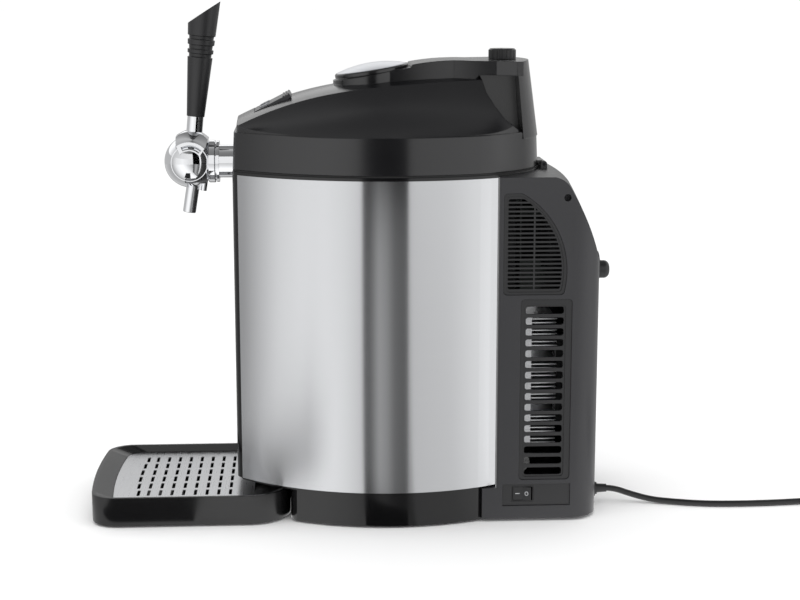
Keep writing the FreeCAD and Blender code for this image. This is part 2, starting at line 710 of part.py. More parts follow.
# ------------------------------------------------------------------ drum and base
def make_base():
    plinth = Piece("plinth")
    plinth.pad("XY", "plinth_top - floor_thickness", "floor_thickness", drum("plinth_inset"))
    skirt = "plinth_top - floor_thickness - foot_height"
    plinth.pad("XY", "foot_height", skirt, drum("plinth_inset", "-plinth_front", "8"))
    inner = drum("plinth_inset + wall", "-(plinth_front - wall)", "8")
    plinth.pocket("XY", "foot_height", skirt, inner)
    mouth = rectangle("-(tongue_half_width + fit_gap)", "tongue_low - fit_gap",
                      "tongue_half_width + fit_gap", "tongue_high + fit_gap")
    plinth.pocket("YZ", "-(plinth_front + 1)", "wall + 2", mouth)
    plinth.keep("base_plinth")

    plate = Piece("bottom")
    rim = "plinth_inset + wall + seat_gap"
    plate.pad("XY", "2 * foot_height", "wall",
              drum(rim, "-(plinth_front - wall - seat_gap)", "8"))
    plate.keep("bottom_plate")

    feet = Piece("feet")
    spots = [("circle", x, y, "foot_radius") for x in ("-foot_front", "foot_rear")
             for y in ("-foot_spread", "foot_spread")]
    feet.pad("XY", "0", "2 * foot_height", *spots)
    feet.keep("rubber_feet")


def make_drum():
    rear_edge, front_edge = "skin_rear", "-skin_front"
    x, y = tangent()
    x_in, y_in = tangent("skin_thickness")
    inner_side, inner_rear = "drum_side_radius - skin_thickness", "drum_rear_radius - skin_thickness"
    skin = Piece("skin")
    skin.pad("XY", "plinth_top", "skin_height", [
        (front_edge, f"-({side_y(front_edge)})", "drum_side_radius"),
        (x, f"-({y})", "drum_rear_radius"),
        (rear_edge, f"-({rear_y(rear_edge)})"),
        (rear_edge, f"-({rear_y(rear_edge, 'skin_thickness')})", f"-({inner_rear})"),
        (x_in, f"-({y_in})", f"-({inner_side})"),
        (front_edge, f"-({side_y(front_edge, 'skin_thickness')})")])
    mirrored(skin.keep("steel_skin_left"), "steel_skin_right")

    panel = Piece("front")
    panel.pad("XY", "plinth_top", "skin_height", drum())
    panel.pocket("XY", "plinth_top", "skin_height",
                 band("-(skin_front + seat_gap)", "drum_half_width * 2", "drum_half_width * 2"))
    notch = cylinder("front_notch", "notch_radius", "drum_front", "-(drum_front + 20)", "0",
                     "tap_height", "X")
    keep(boolean("Cut", "front_panel", panel, notch), "front_panel")

    ring = Piece("ring")
    ring.pad("XY", "skin_top", "ring_height", drum())
    ring.pocket("XY", "skin_top", "ring_height", ("circle", "keg_axis", "0", "well_radius"))
    notch = cylinder("ring_notch", "notch_radius", "drum_front + 20 - tube_end + fit_gap",
                     "-(drum_front + 20)", "0", "tap_height", "X")
    keep(boolean("Cut", "top_ring", ring, notch), "top_ring")

    seal = Piece("seal")
    seal.pad("XY", "ring_top", "seal_gap - fit_gap", drum("lid_foot_inset + fit_gap"))
    seal.pocket("XY", "ring_top", "seal_gap", drum("lid_foot_inset + lid_wall"))
    seal.pocket("XY", "ring_top", "seal_gap",
                band("-(drum_front + 10)", "-tube_end", "notch_radius + fit_gap"))
    seal.keep("lid_gasket")


def make_well():
    well = Piece("well")
    well.revolve([("0", "well_floor - well_wall"), ("well_outer", "well_floor - well_wall"),
                  ("well_outer", "flange_top - well_wall"),
                  ("well_outer + well_flange", "flange_top - well_wall"),
                  ("well_outer + well_flange", "flange_top"), ("well_radius", "flange_top"),
                  ("well_radius", "well_floor"), ("0", "well_floor")])
    well.keep("keg_well", at=("keg_axis", "0", "0"))

    pad = Piece("well_pad")
    pad.pad("XY", "well_floor", "pad_thickness", ("circle", "0", "0", "well_radius - 10"))
    pad.pocket("XY", "well_floor", "pad_thickness", ("circle", "0", "0", "well_radius - 40"))
    pad.keep("keg_pad", at=("keg_axis", "0", "0"))

    foam = Piece("foam")
    foam.pad("XY", "plinth_top", "foam_top - plinth_top",
             drum("skin_thickness + fit_gap", "-(skin_front - fit_gap)", "1"))
    foam.pocket("XY", "plinth_top", "foam_top - plinth_top",
                band("foam_rear", "drum_half_width * 2", "drum_half_width * 2"))
    foam.pocket("XY", "well_floor - well_wall - fit_gap", "well_floor + keg_height",
                ("circle", "keg_axis", "0", "well_outer + fit_gap"))
    window = "(block_size / 2 + fit_gap)"
    foam.pocket("YZ", "keg_axis + well_radius / 2", "well_radius",
                rectangle(f"-({window})", f"cooler_height - {window}", window,
                          f"cooler_height + {window}"))
    notch = cylinder("foam_notch", "notch_radius", "drum_front + 20 - tube_end + fit_gap",
                     "-(drum_front + 20)", "0", "tap_height", "X")
    keep(boolean("Cut", "insulation", foam, notch), "insulation_foam")


# ------------------------------------------------------------------- rear housing
def make_housing():
    floor, reach = "foot_height + 1.4", "housing_half_width + 5"
    shell = Piece("housing_outside")
    shell.pad("XY", floor, f"housing_top - ({floor})", housing("0", "skin_rear + seat_gap"))
    shell.loft(back_sections(reach), ruled=False, cut=True)
    cavity = Piece("housing_inside")
    cavity.pad("XY", f"{floor} + wall", f"housing_top - 2 * wall - ({floor})",
               housing("wall", "skin_rear - 3"))
    cavity.loft(back_sections(reach, "wall"), ruled=False, cut=True)
    returns = Piece("housing_returns")
    outer = "housing_half_width - housing_edge"
    start = "skin_rear + seat_gap"
    returns.pad("XY", floor, f"housing_top - wall / 2 - ({floor})",
                rectangle(start, f"-({outer})", f"{start} + wall", "-(housing_half_width - 16)"),
                rectangle(start, "housing_half_width - 16", f"{start} + wall", outer))
    returns.pocket("XY", floor, "housing_top", drum("-seat_gap"))
    foot = Piece("housing_foot")
    height = f"plinth_top - 2 - ({floor})"
    foot.pad("XY", floor, height,
             rectangle("housing_foot_front", "-housing_half_width", "skin_rear + 4",
                       "-(housing_half_width - 18)"),
             rectangle("housing_foot_front", "housing_half_width - 18", "skin_rear + 4",
                       "housing_half_width"))
    foot.pocket("XY", floor, height, drum("plinth_inset - seat_gap"))
    rib = Piece("housing_rib_plate")
    rib.pad("XZ", "housing_rib - 1", "2",
            rectangle("shoulder_start - 14", "dial_height + 12", "housing_rear - 1", "housing_top - 1"))
    rib.loft(back_sections(reach, "1"), ruled=False, cut=True)

    boss = Piece("housing_boss")
    boss.pad("YZ", "boss_start", "boss_face - boss_start",
             ("circle", "0", "dial_height + boss_lift", "boss_radius"))
    boss.pad("YZ", "gland_face - 8", "8", ("circle", "gland_side", "gland_height", "8"))
    ears = Piece("hinge_ears")
    for side in ("-(knuckle_half_width + fit_gap + ear_width)", "knuckle_half_width + fit_gap"):
        ears.pad("XZ", side, "ear_width", [
            ("hinge_axis - knuckle_radius", "housing_top - wall + 0.2"),
            ("hinge_axis + knuckle_radius", "housing_top - wall + 0.2"),
            ("hinge_axis + knuckle_radius", "hinge_height", "knuckle_radius * 1.00001"),
            ("hinge_axis", "hinge_height + knuckle_radius", "knuckle_radius * 1.00001"),
            ("hinge_axis - knuckle_radius", "hinge_height")])
    pillars = Piece("screw_pillars")
    depth = "screw_depth + screw_length + 1 - wall / 2"
    for level in ("-(housing_half_width - wall / 2)", f"housing_half_width - wall / 2 - ({depth})"):
        pillars.pad("XZ", level, depth, ("circle", "screw_x", "screw_z", "screw_head + 2"))
    solid = boolean("MultiFuse", "housing_solid", boolean("Cut", "housing_shell", shell, cavity),
                    returns, foot, rib, boss, ears, pillars)

    base = Piece("base_seat")
    base.pad("XY", floor, f"plinth_top - ({floor})", drum("plinth_inset - seat_gap"))
    seat = Piece("ring_seat")
    seat.pad("XY", "skin_top - seat_gap", "60", drum("-seat_gap"))
    mouth = Piece("housing_mouth")
    mouth.pad("XY", "housing_top - wall * 4", "60", drum("ring_ledge"))
    vents = Piece("vent_openings")
    vents.slab("XZ", reach, upper_vent(), lower_vent())
    switch = Piece("switch_opening")
    switch.pad("XZ", f"-({reach})", "20", rectangle("switch_plate_front", "switch_plate_low",
                                                    "switch_plate_rear", "switch_plate_high"))
    bores = Piece("housing_bores")
    bores.pad("YZ", "boss_start - 1", "60", ("circle", "0", "dial_height", "shaft_radius + 0.5"))
    bores.pad("YZ", "gland_face - 20", "40", ("circle", "gland_side", "gland_height", "gland_neck"))
    bores.slab("XZ", "drum_half_width", ("circle", "hinge_axis", "hinge_height",
                                         "pin_radius + running_gap"))
    intake = Piece("intake_slots")
    first = intake.pad("YZ", "housing_rear - 20", "40",
                       rectangle("-intake_half_width", "intake_low", "intake_half_width",
                                 "intake_low + intake_slot"))
    intake.row(first, "V_Axis", "intake_pitch", "intake_count")
    recess = Piece("screw_recess")
    seat_y = "housing_half_width - screw_depth"
    for level in (f"-({seat_y}) - 30", seat_y):
        recess.pad("XZ", level, "30", ("circle", "screw_x", "screw_z", "screw_head + seat_gap"))
    for level in (f"-({seat_y}) - 1", f"{seat_y} - screw_length"):
        recess.pad("XZ", level, "screw_length + 1", ("circle", "screw_x", "screw_z", "screw_shaft"))
    keep(boolean("Cut", "rear_housing", solid, base, seat, mouth, vents, switch, bores, intake,
                 recess), "rear_housing")


def make_vents():
    panel = Piece("upper_vent_panel")
    panel.pad("XZ", "-vent_face", "vent_thickness", upper_vent("seat_gap"))
    panel.pocket("XZ", "-vent_face", "vent_field", upper_vent("upper_vent_bead"))
    window = Piece("upper_vent_window")
    window.pad("XZ", "-(vent_face + 1)", "vent_thickness + 2", upper_vent("upper_vent_frame"))
    comb = Piece("upper_vent_comb")
    low = "upper_vent_low + upper_slot_margin - upper_slot_height / 2"
    high = f"{low} + upper_slot_height"
    half_post = "upper_post_width / 2"
    first = comb.pad("XZ", "-(vent_face + 1)", "vent_thickness + 2",
                     rectangle("upper_vent_front", low, f"upper_post - {half_post}", high),
                     rectangle(f"upper_post + {half_post}", low, "upper_vent_rear", high))
    comb.row(first, "V_Axis",
             "(upper_vent_high - upper_vent_low - 2 * upper_slot_margin) / (upper_slot_count - 1)",
             "upper_slot_count")
    slots = boolean("Common", "upper_vent_slots", window, comb)
    left = keep(boolean("Cut", "upper_vent", panel, slots), "upper_vent_left")
    mirrored(left, "upper_vent_right")

    grille = Piece("lower_vent")
    grille.pad("XZ", "-vent_face", "vent_thickness", lower_vent("seat_gap"))
    low = "lower_slot_top - lower_slot_height - (lower_slot_count - 1) * lower_slot_pitch"
    grille.pocket("XZ", "-vent_face", "vent_field",
                  rounded("lower_slot_front - 1.8", f"{low} - 1.8", "lower_slot_rear + 1.8",
                          "lower_slot_top + 1.8", "lower_slot_corner + 1"))
    first = grille.pocket("XZ", "-(vent_face + 1)", "vent_thickness + 2",
                          rounded("lower_slot_front", low, "lower_slot_rear",
                                  f"{low} + lower_slot_height", "lower_slot_corner"))
    grille.row(first, "V_Axis", "lower_slot_pitch", "lower_slot_count")
    mirrored(grille.keep("lower_vent_left"), "lower_vent_right")


def make_housing_fittings():
    screws = Piece("housing_screws")
    seat_y, head = "housing_half_width - screw_depth", "screw_head * 0.7"
    for level in (f"-({seat_y}) - {head}", seat_y):
        screws.pad("XZ", level, head, ("circle", "screw_x", "screw_z", "screw_head"))
    shaft = "screw_length - 0.5"
    for level in (f"-({seat_y})", f"{seat_y} - ({shaft})"):
        screws.pad("XZ", level, shaft, ("circle", "screw_x", "screw_z", "screw_shaft"))
    for level in (f"-({seat_y}) - {head}", f"{seat_y} + {head} / 2"):
        for bar in (("screw_head * 0.65", "0.6"), ("0.6", "screw_head * 0.65")):
            screws.pocket("XZ", level, f"{head} / 2", rectangle(
                f"screw_x - {bar[0]}", f"screw_z - {bar[1]}",
                f"screw_x + {bar[0]}", f"screw_z + {bar[1]}"))
    screws.keep("housing_screws")

    plate = Piece("switch_plate")
    gap = "seat_gap"
    plate.pad("XZ", "-(housing_half_width - 1.2)", "wall", rectangle(
        f"switch_plate_front + {gap}", f"switch_plate_low + {gap}",
        f"switch_plate_rear - {gap}", f"switch_plate_high - {gap}"))
    half_x, half_z = "rocker_length / 2 + 1.2", "rocker_height / 2 + 1.2"
    plate.pocket("XZ", "-housing_half_width", "wall * 3", rectangle(
        f"rocker_middle - ({half_x}) - {gap}", f"rocker_height_middle - ({half_z}) - {gap}",
        f"rocker_middle + {half_x} + {gap}", f"rocker_height_middle + {half_z} + {gap}"))
    plate.keep("switch_plate")

    cup = Piece("switch_body")
    cup.pad("XZ", "-(housing_half_width - 1.2)", "switch_depth", rectangle(
        f"rocker_middle - ({half_x})", f"rocker_height_middle - ({half_z})",
        f"rocker_middle + {half_x}", f"rocker_height_middle + {half_z}"))
    gap = "fit_gap"
    half_x, half_z = f"rocker_length / 2 + {gap}", f"rocker_height / 2 + {gap}"
    depth = "housing_half_width - rocker_pivot + rocker_depth + 1"
    cup.pocket("XZ", "-housing_half_width", depth, rectangle(
        f"rocker_middle - ({half_x})", f"rocker_height_middle - ({half_z})",
        f"rocker_middle + {half_x}", f"rocker_height_middle + {half_z}"))
    bore = cylinder("switch_bore", "rocker_pin + running_gap", "rocker_height + 1.6",
                    "rocker_middle", "-rocker_pivot", "rocker_height_middle - rocker_height / 2 - 0.8")
    keep(boolean("Cut", "switch_cup", cup, bore), "switch_body")

    rocker = Piece("rocker")
    end, low = "rocker_length / 2", "rocker_height / 2"
    rocker.slab("XY", low, [
        (f"-({end} - 0.7)", "-rocker_rise"), ("0", "-(rocker_rise - 0.9)"),
        (f"{end} - 0.7", "-rocker_rise"),
        (f"{end} - 0.8", "rocker_depth / 2"), ("0", "rocker_depth"),
        (f"-({end} - 0.8)", "rocker_depth / 2")])
    rocker.slab("XY", f"{low} + 0.7", ("circle", "0", "0", "rocker_pin"))
    body = rocker.body
    body.Label = "power_rocker"
    body.Placement = Placement(
        Vector(size("axis_shift + rocker_middle"), -size("rocker_pivot"),
               size("rocker_height_middle")), Rotation(Vector(0, 0, 1), -size("rocker_swing") / 2))
    kept["power_rocker"] = body

    body = Piece("thermostat")
    body.pad("YZ", "boss_start - thermostat_depth", "thermostat_depth",
             rounded("-11", "dial_height - 11", "11", "dial_height + 11", "2"))
    body.pocket("YZ", "boss_start - thermostat_depth + 2", "thermostat_depth",
                ("circle", "0", "dial_height", "shaft_radius + running_gap"))
    body.keep("thermostat")

    dial = Piece("dial")
    end = "dial_end - boss_face"
    root = "boss_start - boss_face - thermostat_depth + 2.5"
    dial.revolve([(root, "0"), (end, "0"), (end, "dial_radius * 0.45", "dial_radius * 0.62"),
                  (f"({end}) * 0.55", "dial_radius"), ("fit_gap", "dial_radius"),
                  ("fit_gap", "shaft_radius"), (root, "shaft_radius")], axis="H_Axis")
    dial.keep("temperature_dial", at=("boss_face", "0", "dial_height"))

    gland = Piece("gland")
    inside, tip = "-(wall + 6)", "gland_length"
    gland.revolve([(inside, "cord_radius"), (tip, "cord_radius"), (tip, "cord_radius + 1"),
                   ("2", "gland_neck"), ("2", "gland_neck + 1.6"), ("0", "gland_neck + 1.6"),
                   ("0", "gland_neck"), (inside, "gland_neck")], axis="H_Axis")
    gland.keep("cord_gland", at=("gland_face", "gland_side", "gland_height"))


# ------------------------------------------------------------------- cooling unit
def make_cooling():
    block = Piece("block")
    half = "block_size / 2"
    block.pad("YZ", "block_start - 8", "block_depth + 8",
              rectangle(f"-{half}", f"cooler_height - {half}", half, f"cooler_height + {half}"))
    well = cylinder("block_seat", "well_outer + 0.02", "keg_height", "keg_axis", "0", "well_floor")
    keep(boolean("Cut", "cold_block", block, well), "cold_block")

    module = Piece("module")
    half = "module_size / 2"
    module.pad("YZ", "block_end", "module_thickness",
               rectangle(f"-{half}", f"cooler_height - {half}", half, f"cooler_height + {half}"))
    module.keep("cooling_module")

    sink = Piece("sink")
    half = "sink_width / 2"
    sink.pad("YZ", "sink_start", "sink_base", rectangle(f"-{half}", "sink_low", half, "sink_high"))
    fin = sink.pad("YZ", "fin_start - 0.01", "fin_length + 0.01",
                   rectangle(f"-{half}", "sink_low", half, "sink_low + fin_thickness"))
    sink.row(fin, "V_Axis", "fin_pitch",
             "floor((sink_high - sink_low - fin_thickness) / fin_pitch) + 1")
    screw = "screw_spread - fin_pitch"
    for middle in ("cooler_height - screw_spread", "cooler_height + screw_spread"):
        sink.pocket("YZ", "fin_start", "fin_length + 1", rectangle(
            f"-({half} + 1)", f"{middle} - fin_pitch", f"{half} + 1", f"{middle} + fin_pitch"))
    spots = [("circle", y, f"cooler_height {z} screw_spread", "clamp_shaft + seat_gap")
             for y in ("-screw_spread", "screw_spread") for z in ("-", "+")]
    sink.pocket("YZ", "sink_start - 1", "sink_base + 2", *spots)
    sink.keep("heatsink")

    clamps = Piece("clamps")
    spots = [spot[:3] + ("clamp_shaft",) for spot in spots]
    heads = [spot[:3] + ("clamp_shaft * 2",) for spot in spots]
    clamps.pad("YZ", "block_end", "fin_start - block_end", *spots)
    clamps.pad("YZ", "fin_start", "2.4", *heads)
    clamps.keep("clamp_screws")

    frame = Piece("fan_frame")
    half, rear = "fan_size / 2", "fan_end - fan_strut"
    frame.pad("YZ", "fin_end", "fan_depth",
              rounded(f"-{half}", f"fan_height - {half}", half, f"fan_height + {half}", "5"))
    frame.pocket("YZ", "fin_end", "fan_depth", ("circle", "0", "fan_height", "fan_bore"))
    frame.pad("YZ", rear, "fan_strut", ("circle", "0", "fan_height", "fan_hub"))
    reach = "fan_bore + 1"
    frame.pad("YZ", rear, "fan_strut", rectangle(
        f"-({reach})", "fan_height - fan_strut / 2", reach, "fan_height + fan_strut / 2"))
    frame.pad("YZ", rear, "fan_strut", rectangle(
        "-fan_strut / 2", f"fan_height - ({reach})", "fan_strut / 2", f"fan_height + ({reach})"))
    frame.pad("YZ", f"{rear} - fan_shaft_length", "fan_shaft_length",
              ("circle", "0", "fan_height", "fan_shaft"))
    frame.keep("fan_frame")

    rotor = Piece("fan_rotor")
    back, front = "-(fan_strut + 1)", "-(fan_depth - 4)"
    bore = "fan_shaft + running_gap"
    rotor.revolve([(back, bore), (back, "fan_hub"), (front, "fan_hub"), (front, "0"),
                   ("-(fan_strut + fan_shaft_length + 1)", "0"),
                   ("-(fan_strut + fan_shaft_length + 1)", bore)], axis="H_Axis")
    root, sweep = "fan_hub - 1", "fan_hub * 0.78"
    tip = f"sqrt((fan_bore - fan_clearance) ^ 2 - ({sweep}) ^ 2)"
    blade = rotor.loft([("XY", level, [
        (f"{front} + 1", f"-{spread}"), (f"{front} + 2.6", f"-{spread}"),
        (f"{back} - 0.6", spread), (f"{back} - 2.2", spread)])
        for level, spread in ((root, "fan_hub * 0.32"), (tip, sweep))])
    rotor.count += 1
    turns = rotor.body.newObject("PartDesign::PolarPattern", "fan_blades")
    turns.Originals = [blade]
    axis = [part for part in rotor.body.Origin.OriginFeatures if part.Role == "X_Axis"][0]
    turns.Axis = (axis, [""])
    turns.Angle = 360
    bind(turns, "Occurrences", "fan_blades")
    rotor.body.Tip = turns
    rotor.keep("fan_rotor", at=("fan_end", "0", "fan_height"))

    board = Piece("power_board")
    half, face = "board_width / 2", "foam_rear + board_standoff"
    board.pad("YZ", face, "board_thickness",
              rectangle(f"-{half}", "board_low", half, "board_high"))
    legs = [("circle", y, z, "3") for y in (f"-({half} - 6)", f"{half} - 6")
            for z in ("board_low + 6", "board_high - 6")]
    board.pad("YZ", "foam_rear", "board_standoff", *legs)
    top = f"{face} + board_thickness"
    board.pad("YZ", top, "24", ("circle", "-20", "board_high - 20", "8"),
              ("circle", "0", "board_high - 20", "8"))
    board.pad("YZ", top, "14", rectangle("16", "board_low + 40", "44", "board_high - 10"))
    board.pad("YZ", top, "22", rectangle("-40", "board_low + 10", "-4", "board_low + 44"))
    board.pad("YZ", top, "27", rectangle("-34", "board_low + 18", "-10", "board_low + 36"))
    board.keep("power_board")


# ---------------------------------------------------------------------------- lid
CREST = [
    # station along X, crest edge above the lid's foot, half width, foot of the flank
    ("-160", "crest_rise_a", "crest_half_width - 6", "band_height + 4"),
    ("-124", "crest_rise_b", "crest_half_width + 1", "band_height + 1.4"),
    ("-76", "crest_rise_c", "crest_half_width + 3", "band_height"),
    ("-27", "crest_rise_d", "crest_half_width + 2", "band_height"),
    ("30", "crest_rise_e", "crest_half_width - 2", "band_height"),
    ("84", "crest_rise_f", "crest_half_width - 8", "band_height"),
    ("150", "crest_rise_g", "crest_half_width - 11", "band_height"),
]


def flank_section(station, rise, half, foot, inset="0"):
    """Cross-section of the lid's upper part: crowned crest between two hollow flanks."""
    width = f"({side_y(station)} - 3.2 * ({inset}))"
    half, rise, foot = f"{half} - {inset}", f"{rise} - {inset}", f"{foot} - {inset}"
    edge_z, foot_z = f"lid_foot + {rise}", f"lid_foot + {foot}"
    chord = f"sqrt(({width} - ({half})) ^ 2 + (({rise}) - ({foot})) ^ 2)"
    hollow = f"scoop_depth * {chord} / 78"
    flank = f"(({chord}) ^ 2 / (8 * {hollow}) + {hollow} / 2)"
    crown = f"((({half}) ^ 2 + crest_crown ^ 2) / (2 * crest_crown))"
    low, out = "lid_foot - 1", f"{width} + 3"
    return [(f"-({out})", low), (out, low), (out, f"{foot_z} - 0.6"), (width, foot_z, f"-{flank}"),
            (half, edge_z, crown), (f"-({half})", edge_z, f"-{flank}"),
            (f"-{width}", foot_z), (f"-({out})", f"{foot_z} - 0.6")]


def lid_envelope(name, inset, *levels):
    """Solid inside the lid's leaning band, from one height to another."""
    piece = Piece(name)
    piece.loft([("XY", level, drum(f"lid_foot_inset + ({inset}) + lid_draft * (({level}) - lid_foot)"))
                for level in levels])
    return piece


def ridge_plan(inset="0"):
    """Plan of the ridge that carries the badge and widens into the deck."""
    nose = f"(badge_radius + 1.2 - ({inset}))"
    half, meet = f"(ridge_half_width - ({inset}))", "badge_axis + badge_radius * 0.45"
    edge = f"sqrt({nose} ^ 2 - (badge_radius * 0.45) ^ 2)"
    end = "grip_start + 40"
    return [(f"badge_axis - {nose}", "0", nose), (meet, f"-{edge}"), ("60", f"-{half}"),
            ("100", f"-({half} + 12)"), ("118", f"-({half} + 23.8)"), (end, f"-({half} + 23.8)"),
            (end, f"{half} + 23.8"), ("118", f"{half} + 23.8"), ("100", f"{half} + 12"),
            ("60", half), (meet, edge, nose)]


def rear_section(level, inset="0"):
    """Plan of the lid's rear wall, leaning forward as it rises."""
    rise = f"(({level}) - band_top) / (deck_top - band_top)"
    centre = f"(rear_centre - tail_lean * {rise})"
    radius = f"(drum_rear_radius - tail_inset - ({inset}))"
    chord = f"(grip_end - 6 * {rise})"
    half = f"sqrt({radius} ^ 2 - ({chord} - {centre}) ^ 2)"
    return [(chord, f"-{half}", radius), (f"{centre} + {radius}", "0", radius), (chord, half)]


def make_lid():
    reach = "drum_half_width + 20"
    form = Piece("lid_form")
    form.loft([("YZ", row[0], flank_section(*row)) for row in CREST], ruled=False)
    lower = lid_envelope("lid_lower", "0", "lid_foot", "band_top + 1.4")
    upper = lid_envelope("lid_upper", "lid_step", "band_top - 4", "deck_top + 20")
    outside = boolean("MultiFuse", "lid_outside", lower, upper)
    scooped = boolean("Common", "lid_scooped", form, outside)
    grip = Piece("grip_cut")
    grip.slab("XZ", reach, [("grip_start", "grip_top + 3"), ("grip_start + 6", "413"),
                            ("grip_start + 14", "400"), ("grip_start + 23", "388"),
                            ("grip_end", "band_top"), ("grip_end + 60", "band_top"),
                            ("grip_end + 60", "deck_top + 40"), ("grip_start", "deck_top + 40")])
    core = Piece("lid_core")
    core.pad("XY", "band_top - 3", "grip_top - band_top + 4",
             band("60", "grip_end + 2", "core_half_width"))
    ridge = Piece("ridge_form")
    ridge.slab("XZ", reach, [
        ("-62", "405"), ("60", "405"), ("grip_start", "grip_top"), ("140", "grip_top"),
        ("140", "deck_top"), ("76", "deck_top", "240"), ("20", "deck_top - 3.6"),
        ("18", "deck_top - 6.5"), ("-62", "deck_top - 21.4")])
    plan = Piece("ridge_plan")
    plan.pad("XY", "400", "80", ridge_plan())
    deck = boolean("Common", "lid_deck", ridge, plan)
    rear = Piece("lid_rear")
    rear.loft([("XY", level, rear_section(level)) for level in ("band_top - 5", "deck_top")])
    knuckle = Piece("lid_knuckle")
    knuckle.slab("XZ", "knuckle_half_width", ("circle", "hinge_axis", "hinge_height", "knuckle_radius"))
    knuckle.slab("XZ", "knuckle_half_width", rectangle("142", "lid_foot", "hinge_axis",
                                                       "hinge_height + knuckle_radius"))
    solid = boolean("MultiFuse", "lid_solid", boolean("Cut", "lid_gripped", scooped, grip),
                    core, deck, rear, knuckle)

    hollow = lid_envelope("lid_hollow", "lid_wall", "lid_foot - 1", "band_top - lid_wall - 0.8")
    inner = Piece("lid_inner_form")
    inner.loft([("YZ", row[0], flank_section(*row, inset="lid_wall")) for row in CREST], ruled=False)
    bound = Piece("lid_inner_bound")
    bound.slab("XZ", reach, [("-144", "lid_foot + 20"), ("grip_end - 20", "lid_foot + 20"),
                             ("grip_end - 20", "band_top - 2"), ("grip_start + 17", "388"),
                             ("grip_start + 10", "400"), ("grip_start + 2", "413"),
                             ("grip_start - 4", "grip_top + 3"), ("-144", "grip_top + 3")])
    vault = boolean("Common", "lid_vault", inner, bound)
    chamber = Piece("lid_chamber")
    half = "core_half_width - lid_wall"
    chamber.slab("XZ", half, [
        ("-40", "band_top - 5"), ("grip_end - 1", "band_top - 5"), ("grip_end - 1", "deck_top - 6"),
        ("70", "deck_top - 6"), ("12", "deck_top - 12.5"), ("-40", "414")])
    notch = Piece("lid_notch")
    notch.pad("YZ", "-drum_front - 5", "drum_front - tube_end + 5",
              [("notch_radius", "tap_height", "notch_radius"), ("0", "tap_height + notch_radius",
               "notch_radius"), ("-notch_radius", "tap_height"), ("-notch_radius", "lid_foot - 2"),
               ("notch_radius", "lid_foot - 2")])
    pin = cylinder("lid_pin_bore", "pin_radius + running_gap", "drum_half_width", "hinge_axis",
                   "-(drum_half_width / 2)", "hinge_height", "Y")
    shaft = cylinder("regulator_bore", "regulator_neck + seat_gap", "40", "gas_knob_axis", "0",
                     "deck_top - 20")
    seat = Piece("panel_seat")
    half = "panel_length / 2 + seat_gap"
    seat.pad("XY", "-panel_thickness", "20", band(f"-({half})", half, "panel_width / 2 + seat_gap"))
    put(seat, "panel_axis", "0", "panel_height", "-panel_tilt")
    carrier = Piece("badge_seat")
    carrier.pad("XY", "-badge_thickness", "20", ("circle", "0", "0", "badge_radius + seat_gap"))
    put(carrier, "badge_axis", "0", "badge_height", "-badge_tilt")
    keep(boolean("Cut", "lid_shell", solid, hollow, vault, chamber, notch, pin, shaft, seat, carrier),
         "lid_shell")


def make_lid_fittings():
    pin = Piece("hinge_rod")
    pin.slab("XZ", "knuckle_half_width + fit_gap + ear_width",
             ("circle", "hinge_axis", "hinge_height", "pin_radius"))
    pin.keep("hinge_pin")

    liner = lid_envelope("liner", "lid_wall + seat_gap", "liner_low", "liner_low + wall")
    liner.pocket("XY", "liner_low", "wall", band("-drum_front", "-(drum_front - 20)", "20"),
                 ("circle", "cartridge_start - 10", "-24", "2 + seat_gap"))
    for x in ("board_front + 4", "board_rear - 4"):
        liner.pad("XY", "liner_low + wall", "control_board_low - liner_low - wall",
                  ("circle", x, "-18", "3"), ("circle", x, "18", "3"))
    liner.pad("XY", "liner_low + wall", "12", band("cartridge_start + 12", "cartridge_start + 16", "9"))
    liner.keep("lid_liner")

    board = Piece("control_board")
    board.pad("XY", "control_board_low", "board_thickness", band("board_front", "board_rear", "24"))
    board.pad("XY", "control_board_low + board_thickness", "4",
              rectangle("board_front + 6", "-8", "board_front + 18", "8"))
    board.keep("control_board")

    regulator = Piece("regulator")
    regulator.revolve([("0", "regulator_low"), ("regulator_radius", "regulator_low"),
                       ("regulator_radius", "deck_top - 6.2"), ("regulator_neck", "deck_top - 6.2"),
                       ("regulator_neck", "deck_top"), ("regulator_neck / 2", "deck_top"),
                       ("regulator_neck / 2", "deck_top + 7"), ("0", "deck_top + 7")])
    regulator.keep("regulator_body", at=("gas_knob_axis", "0", "0"))

    knob = Piece("gas_knob")
    knob.revolve([("regulator_neck / 2 + running_gap", "fit_gap"),
                  ("gas_knob_radius", "fit_gap"), ("gas_knob_radius", "gas_knob_height - 1.5"),
                  ("gas_knob_radius - 1.5", "gas_knob_height"), ("0", "gas_knob_height"),
                  ("0", "7.4"), ("regulator_neck / 2 + running_gap", "7.4")])
    rib = knob.pocket("XY", "fit_gap", "gas_knob_height",
                      ("circle", "gas_knob_radius + 0.5", "0", "1.2"))
    knob.ring(rib, "18")
    knob.pocket("XY", "gas_knob_height - 1", "2",
                rectangle("-1", "3", "1", "gas_knob_radius - 2"))
    knob.keep("gas_knob", at=("gas_knob_axis", "0", "deck_top"))

    cartridge = Piece("cartridge")
    radius, length = "cartridge_radius", "cartridge_length"
    cartridge.revolve([("0", "0"), (length, "0"), (length, "4"), (f"{length} - 8", "4", "-4"),
                       (f"{length} - 12", "8"), (f"{length} - 22", radius), ("6", radius, "6"),
                       ("0", f"{radius} - 6")], axis="H_Axis")
    cartridge.keep("gas_cartridge", at=("cartridge_start", "0", "cartridge_height"))


